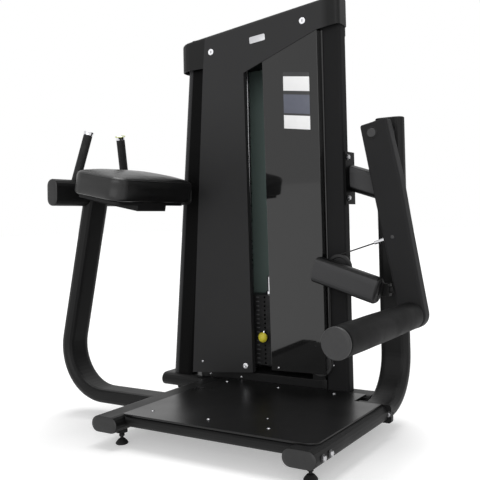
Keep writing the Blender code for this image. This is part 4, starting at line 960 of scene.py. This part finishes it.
def platform_details():
    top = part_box("platform_plate")[1].z
    for number, (x, y) in enumerate((
        (-0.085, -0.524), (0.138, -0.521), (0.357, -0.519),
        (-0.104, -0.081), (0.125, -0.081), (0.350, -0.076),
    )):
        place = tower(x, y, 0)
        place.z = top
        button_screw("platform_screw_%d" % number, place, Z_AXIS, 0.0055, "base")
    small = tower(0.300, -0.434, 0)
    small.z = top
    button_screw("platform_screw_small", small, Z_AXIS, 0.0030, "base")
    rail_z = 0.0765
    for number, y in enumerate((-0.592, -0.548)):
        place = tower(0, y, rail_z)
        place.x = tower(0.574, 0, 0).x
        hex_bolt("rail_bolt_%d" % number, place, X_AXIS, 0.0075, "base")
    for number, (y, turn) in enumerate(((-0.126, -1), (-0.1095, 1))):
        place = tower(0.5745, y, rail_z)
        hex_bolt("flange_bolt_%d" % number, place, Vector((0, turn, 0)), 0.0070, "base")


platform_details()


# Handles: open flared ends

def handle_end(name, node, ring_look, inside, lean_y):
    """Flared collar with an open bore on the grip's top."""
    low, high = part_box(node)
    direction = Vector((0.133, lean_y, 1)).normalized()
    radius = 0.0165
    reach = 0.0125
    top_x = high.x - radius * math.sqrt(1 - direction.x ** 2)
    flat_y = radius * math.sqrt(1 - direction.y ** 2)
    top_y = low.y + flat_y if lean_y < 0 else high.y - flat_y
    top_z = high.z - radius * math.sqrt(1 - direction.z ** 2)
    centre = Vector((top_x, top_y, top_z))
    collar = [
        (0.0122, 0.0005), (0.0168, 0.0), (0.0172, 0.004), (0.0190, 0.0115), (0.0195, reach),
        (0.0180, reach + 0.0008), (0.0150, reach - 0.0010), (0.0122, 0.0030),
    ]
    turned(name + "_collar", collar, centre, direction, CHROME, "base", 36)
    rim = [
        (0.0176, reach + 0.0002), (0.0197, reach - 0.0004),
        (0.0200, reach + 0.0010), (0.0184, reach + 0.0018),
    ]
    turned(name + "_rim", rim, centre, direction, ring_look, "base", 36)
    plug = [(0, 0.0002), (0.0121, 0.0002), (0.0121, 0.0036), (0, 0.0040)]
    turned(name + "_plug", plug, centre, direction, inside, "base", 24)


handle_end("near_handle_end", "handle_near", RING, NYLON, 0.287)
handle_end("far_handle_end", "handle_far", LIME, WHITE, -0.287)


# Arm, link and stop details

STOP_END = (0.5265, -0.076, 0.473)
STOP_HIGH = 0.0915
STOP_DEEP = 0.070
STOP_ROUND = 0.024


def stop_outline(high, deep):
    return rounded_rectangle(high, deep, STOP_ROUND)


def stop_cap():
    """Plug in the stop tube's free end."""
    heading = Y_AXIS.cross(STOP_ACROSS)
    tube_cap(
        "stop_cap", tower(*STOP_END) + heading * 0.0004, heading, STOP_ACROSS, STOP_HIGH - 0.006,
        STOP_DEEP - 0.006, "base", stop_outline,
    )


def arm_details():
    hub = [
        (0.0172, -0.0002), (0.0215, -0.0002), (0.0222, 0.0010), (0.0205, 0.0022), (0.0176, 0.0022),
    ]
    turned("pivot_ring", hub, tower(0.502, FRONT_Y, 1.016), -Y_AXIS, RUBBER, "arm", 40)
    button = [(0, -0.0004), (0.0066, -0.0004), (0.0066, 0.0010), (0.0054, 0.0020), (0, 0.0024)]
    turned("arm_button", button, tower(0.5685, FRONT_Y, 0.6543), -Y_AXIS, CAP_GREY, "arm", 28)
    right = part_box("link_plate")[1].x
    for number, z in enumerate((0.9420, 0.7950)):
        place = tower(0, 0.000, z)
        place.x = right
        hex_bolt("link_bolt_%d" % number, place, X_AXIS, 0.0075, "base")


stop_cap()
arm_details()


# Stack base's end plate, painted highlights on the stack's plates, the pin's lock and the rear cover's lip

GAP = 0.0003


def base_end_plate():
    """Welded plate that joins the stack base to the right upright."""
    base_low, base_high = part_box("stack_base")
    post_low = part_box("right_upright")[0]
    left = base_high.x + GAP
    right = post_low.x - GAP
    front = post_low.y + 0.0015
    back = front + 0.046
    outline = [(left, front), (right, front), (right, back), (left, back)]
    place = Matrix.Translation((0, 0, base_low.z + 0.001))
    prism("base_end_plate", outline, 0.0365, place, FRAME_COAT, "base", 0.0010)


def stack_edge_highlights():
    """Painted highlights: small light grey strips on the plates' fronts, beside the pin holes, for the
    plates' lit left edges.
    """
    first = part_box("weight_pair_1")[0].z
    pitch = (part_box("weight_pair_2")[0].z - first) / 2
    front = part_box("weight_pair_1")[0].y
    for body, layers in (("base", range(0, 6)), ("stack", range(6, 16))):
        bm = bmesh.new()
        for layer in layers:
            centre = Vector((tower(-0.016, 0, 0).x, front - 0.0002, first + (layer + 0.5) * pitch))
            size = Matrix.Diagonal((0.014, 0.0006, 0.0045, 1))
            bmesh.ops.create_cube(bm, size=1, matrix=Matrix.Translation(centre) @ size)
        piece("stack_edge_highlights_" + body, bm, STACK_HIGHLIGHT_GREY, body)


def pin_tip():
    """Chrome sleeve of the selector pin's spring lock."""
    centre = middle("selector_pin")
    low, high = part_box("selector_pin")
    tip = [(0, -0.002), (0.0042, -0.002), (0.0048, 0.004), (0.0030, 0.0085), (0, 0.0095)]
    place = Vector((centre.x + 0.003, low.y + 0.014, high.z - 0.002))
    turned("pin_lock", tip, place, (0.25, 0, 1), CHROME, "pin", 24)


def cover_lip():
    """Bent lip along the rear cover's lower edge, down to the stack base."""
    low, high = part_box("rear_cover")
    base_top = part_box("stack_base")[1].z
    bm = bmesh.new()
    back = high.y - 0.0045
    profile = [
        (back, low.z + 0.012), (back, base_top + 0.0015), (back - 0.012, base_top + 0.0005),
        (back - 0.012, base_top + 0.0015), (back - 0.0012, base_top + 0.0027), (back - 0.0012, low.z + 0.012),
    ]
    ends = [[bm.verts.new((x, y, z)) for y, z in profile] for x in (low.x + 0.008, high.x - 0.008)]
    for i in range(len(profile)):
        j = (i + 1) % len(profile)
        bm.faces.new((ends[0][i], ends[0][j], ends[1][j], ends[1][i]))
    bm.faces.new(ends[0])
    bm.faces.new(list(reversed(ends[1])))
    piece("cover_lip", bm, FRAME_COAT, "base")


base_end_plate()
stack_edge_highlights()
pin_tip()
cover_lip()


# Floor, background and light

FLOOR_COLOUR = (0.80, 0.80, 0.80)
FLOOR_LIFT = 0.37
WORLD_DIFFUSE = 0.45


def make_floor():
    bm = bmesh.new()
    bmesh.ops.create_grid(bm, x_segments=1, y_segments=1, size=40)
    mesh = bpy.data.meshes.new("floor")
    bm.to_mesh(mesh)
    bm.free()
    floor = bpy.data.objects.new("floor", mesh)
    bpy.context.scene.collection.objects.link(floor)
    paint = bpy.data.materials.new("floor_white")
    paint.use_nodes = True
    tree = paint.node_tree
    bsdf = tree.nodes["Principled BSDF"]
    bsdf.inputs["Base Color"].default_value = (*FLOOR_COLOUR, 1)
    bsdf.inputs["Roughness"].default_value = 0.9
    bsdf.inputs["Specular IOR Level"].default_value = 0.0
    path = tree.nodes.new("ShaderNodeLightPath")
    seen = tree.nodes.new("ShaderNodeMath")
    seen.operation = "MAXIMUM"
    tree.links.new(path.outputs["Is Camera Ray"], seen.inputs[0])
    tree.links.new(path.outputs["Is Glossy Ray"], seen.inputs[1])
    lift = tree.nodes.new("ShaderNodeMath")
    lift.operation = "MULTIPLY"
    lift.inputs[1].default_value = FLOOR_LIFT
    tree.links.new(seen.outputs[0], lift.inputs[0])
    bsdf.inputs["Emission Color"].default_value = (1, 1, 1, 1)
    tree.links.new(lift.outputs[0], bsdf.inputs["Emission Strength"])
    mesh.materials.append(paint)


def make_world():
    world = bpy.data.worlds.new("studio")
    bpy.context.scene.world = world
    world.use_nodes = True
    tree = world.node_tree
    back = tree.nodes["Background"]
    back.inputs["Color"].default_value = (1, 1, 1, 1)
    path = tree.nodes.new("ShaderNodeLightPath")
    first = tree.nodes.new("ShaderNodeMath")
    first.operation = "MAXIMUM"
    tree.links.new(path.outputs["Is Camera Ray"], first.inputs[0])
    tree.links.new(path.outputs["Is Glossy Ray"], first.inputs[1])
    second = tree.nodes.new("ShaderNodeMath")
    second.operation = "MAXIMUM"
    tree.links.new(first.outputs[0], second.inputs[0])
    tree.links.new(path.outputs["Is Transmission Ray"], second.inputs[1])
    level = tree.nodes.new("ShaderNodeMapRange")
    level.inputs["To Min"].default_value = WORLD_DIFFUSE
    level.inputs["To Max"].default_value = 1.0
    tree.links.new(second.outputs[0], level.inputs["Value"])
    tree.links.new(level.outputs["Result"], back.inputs["Strength"])


def sun(name, towards, strength, softness):
    """Soft parallel light that comes from a direction, so the floor keeps one level to the horizon."""
    data = bpy.data.lights.new(name, "SUN")
    data.energy = strength
    data.angle = math.radians(softness)
    made = bpy.data.objects.new(name, data)
    bpy.context.scene.collection.objects.link(made)
    aim = -Vector(towards)
    place = Vector(towards).normalized() * 4
    made.matrix_world = Matrix.Translation(place) @ aim.to_track_quat("-Z", "Y").to_matrix().to_4x4()


make_floor()
make_world()
sun("key_light", (-0.06, 0.34, 1.6), 1.62, 34)
sun("fill_light", (0.5, -1.2, 0.25), 1.4, 60)
bpy.context.scene.view_settings.view_transform = "Standard"
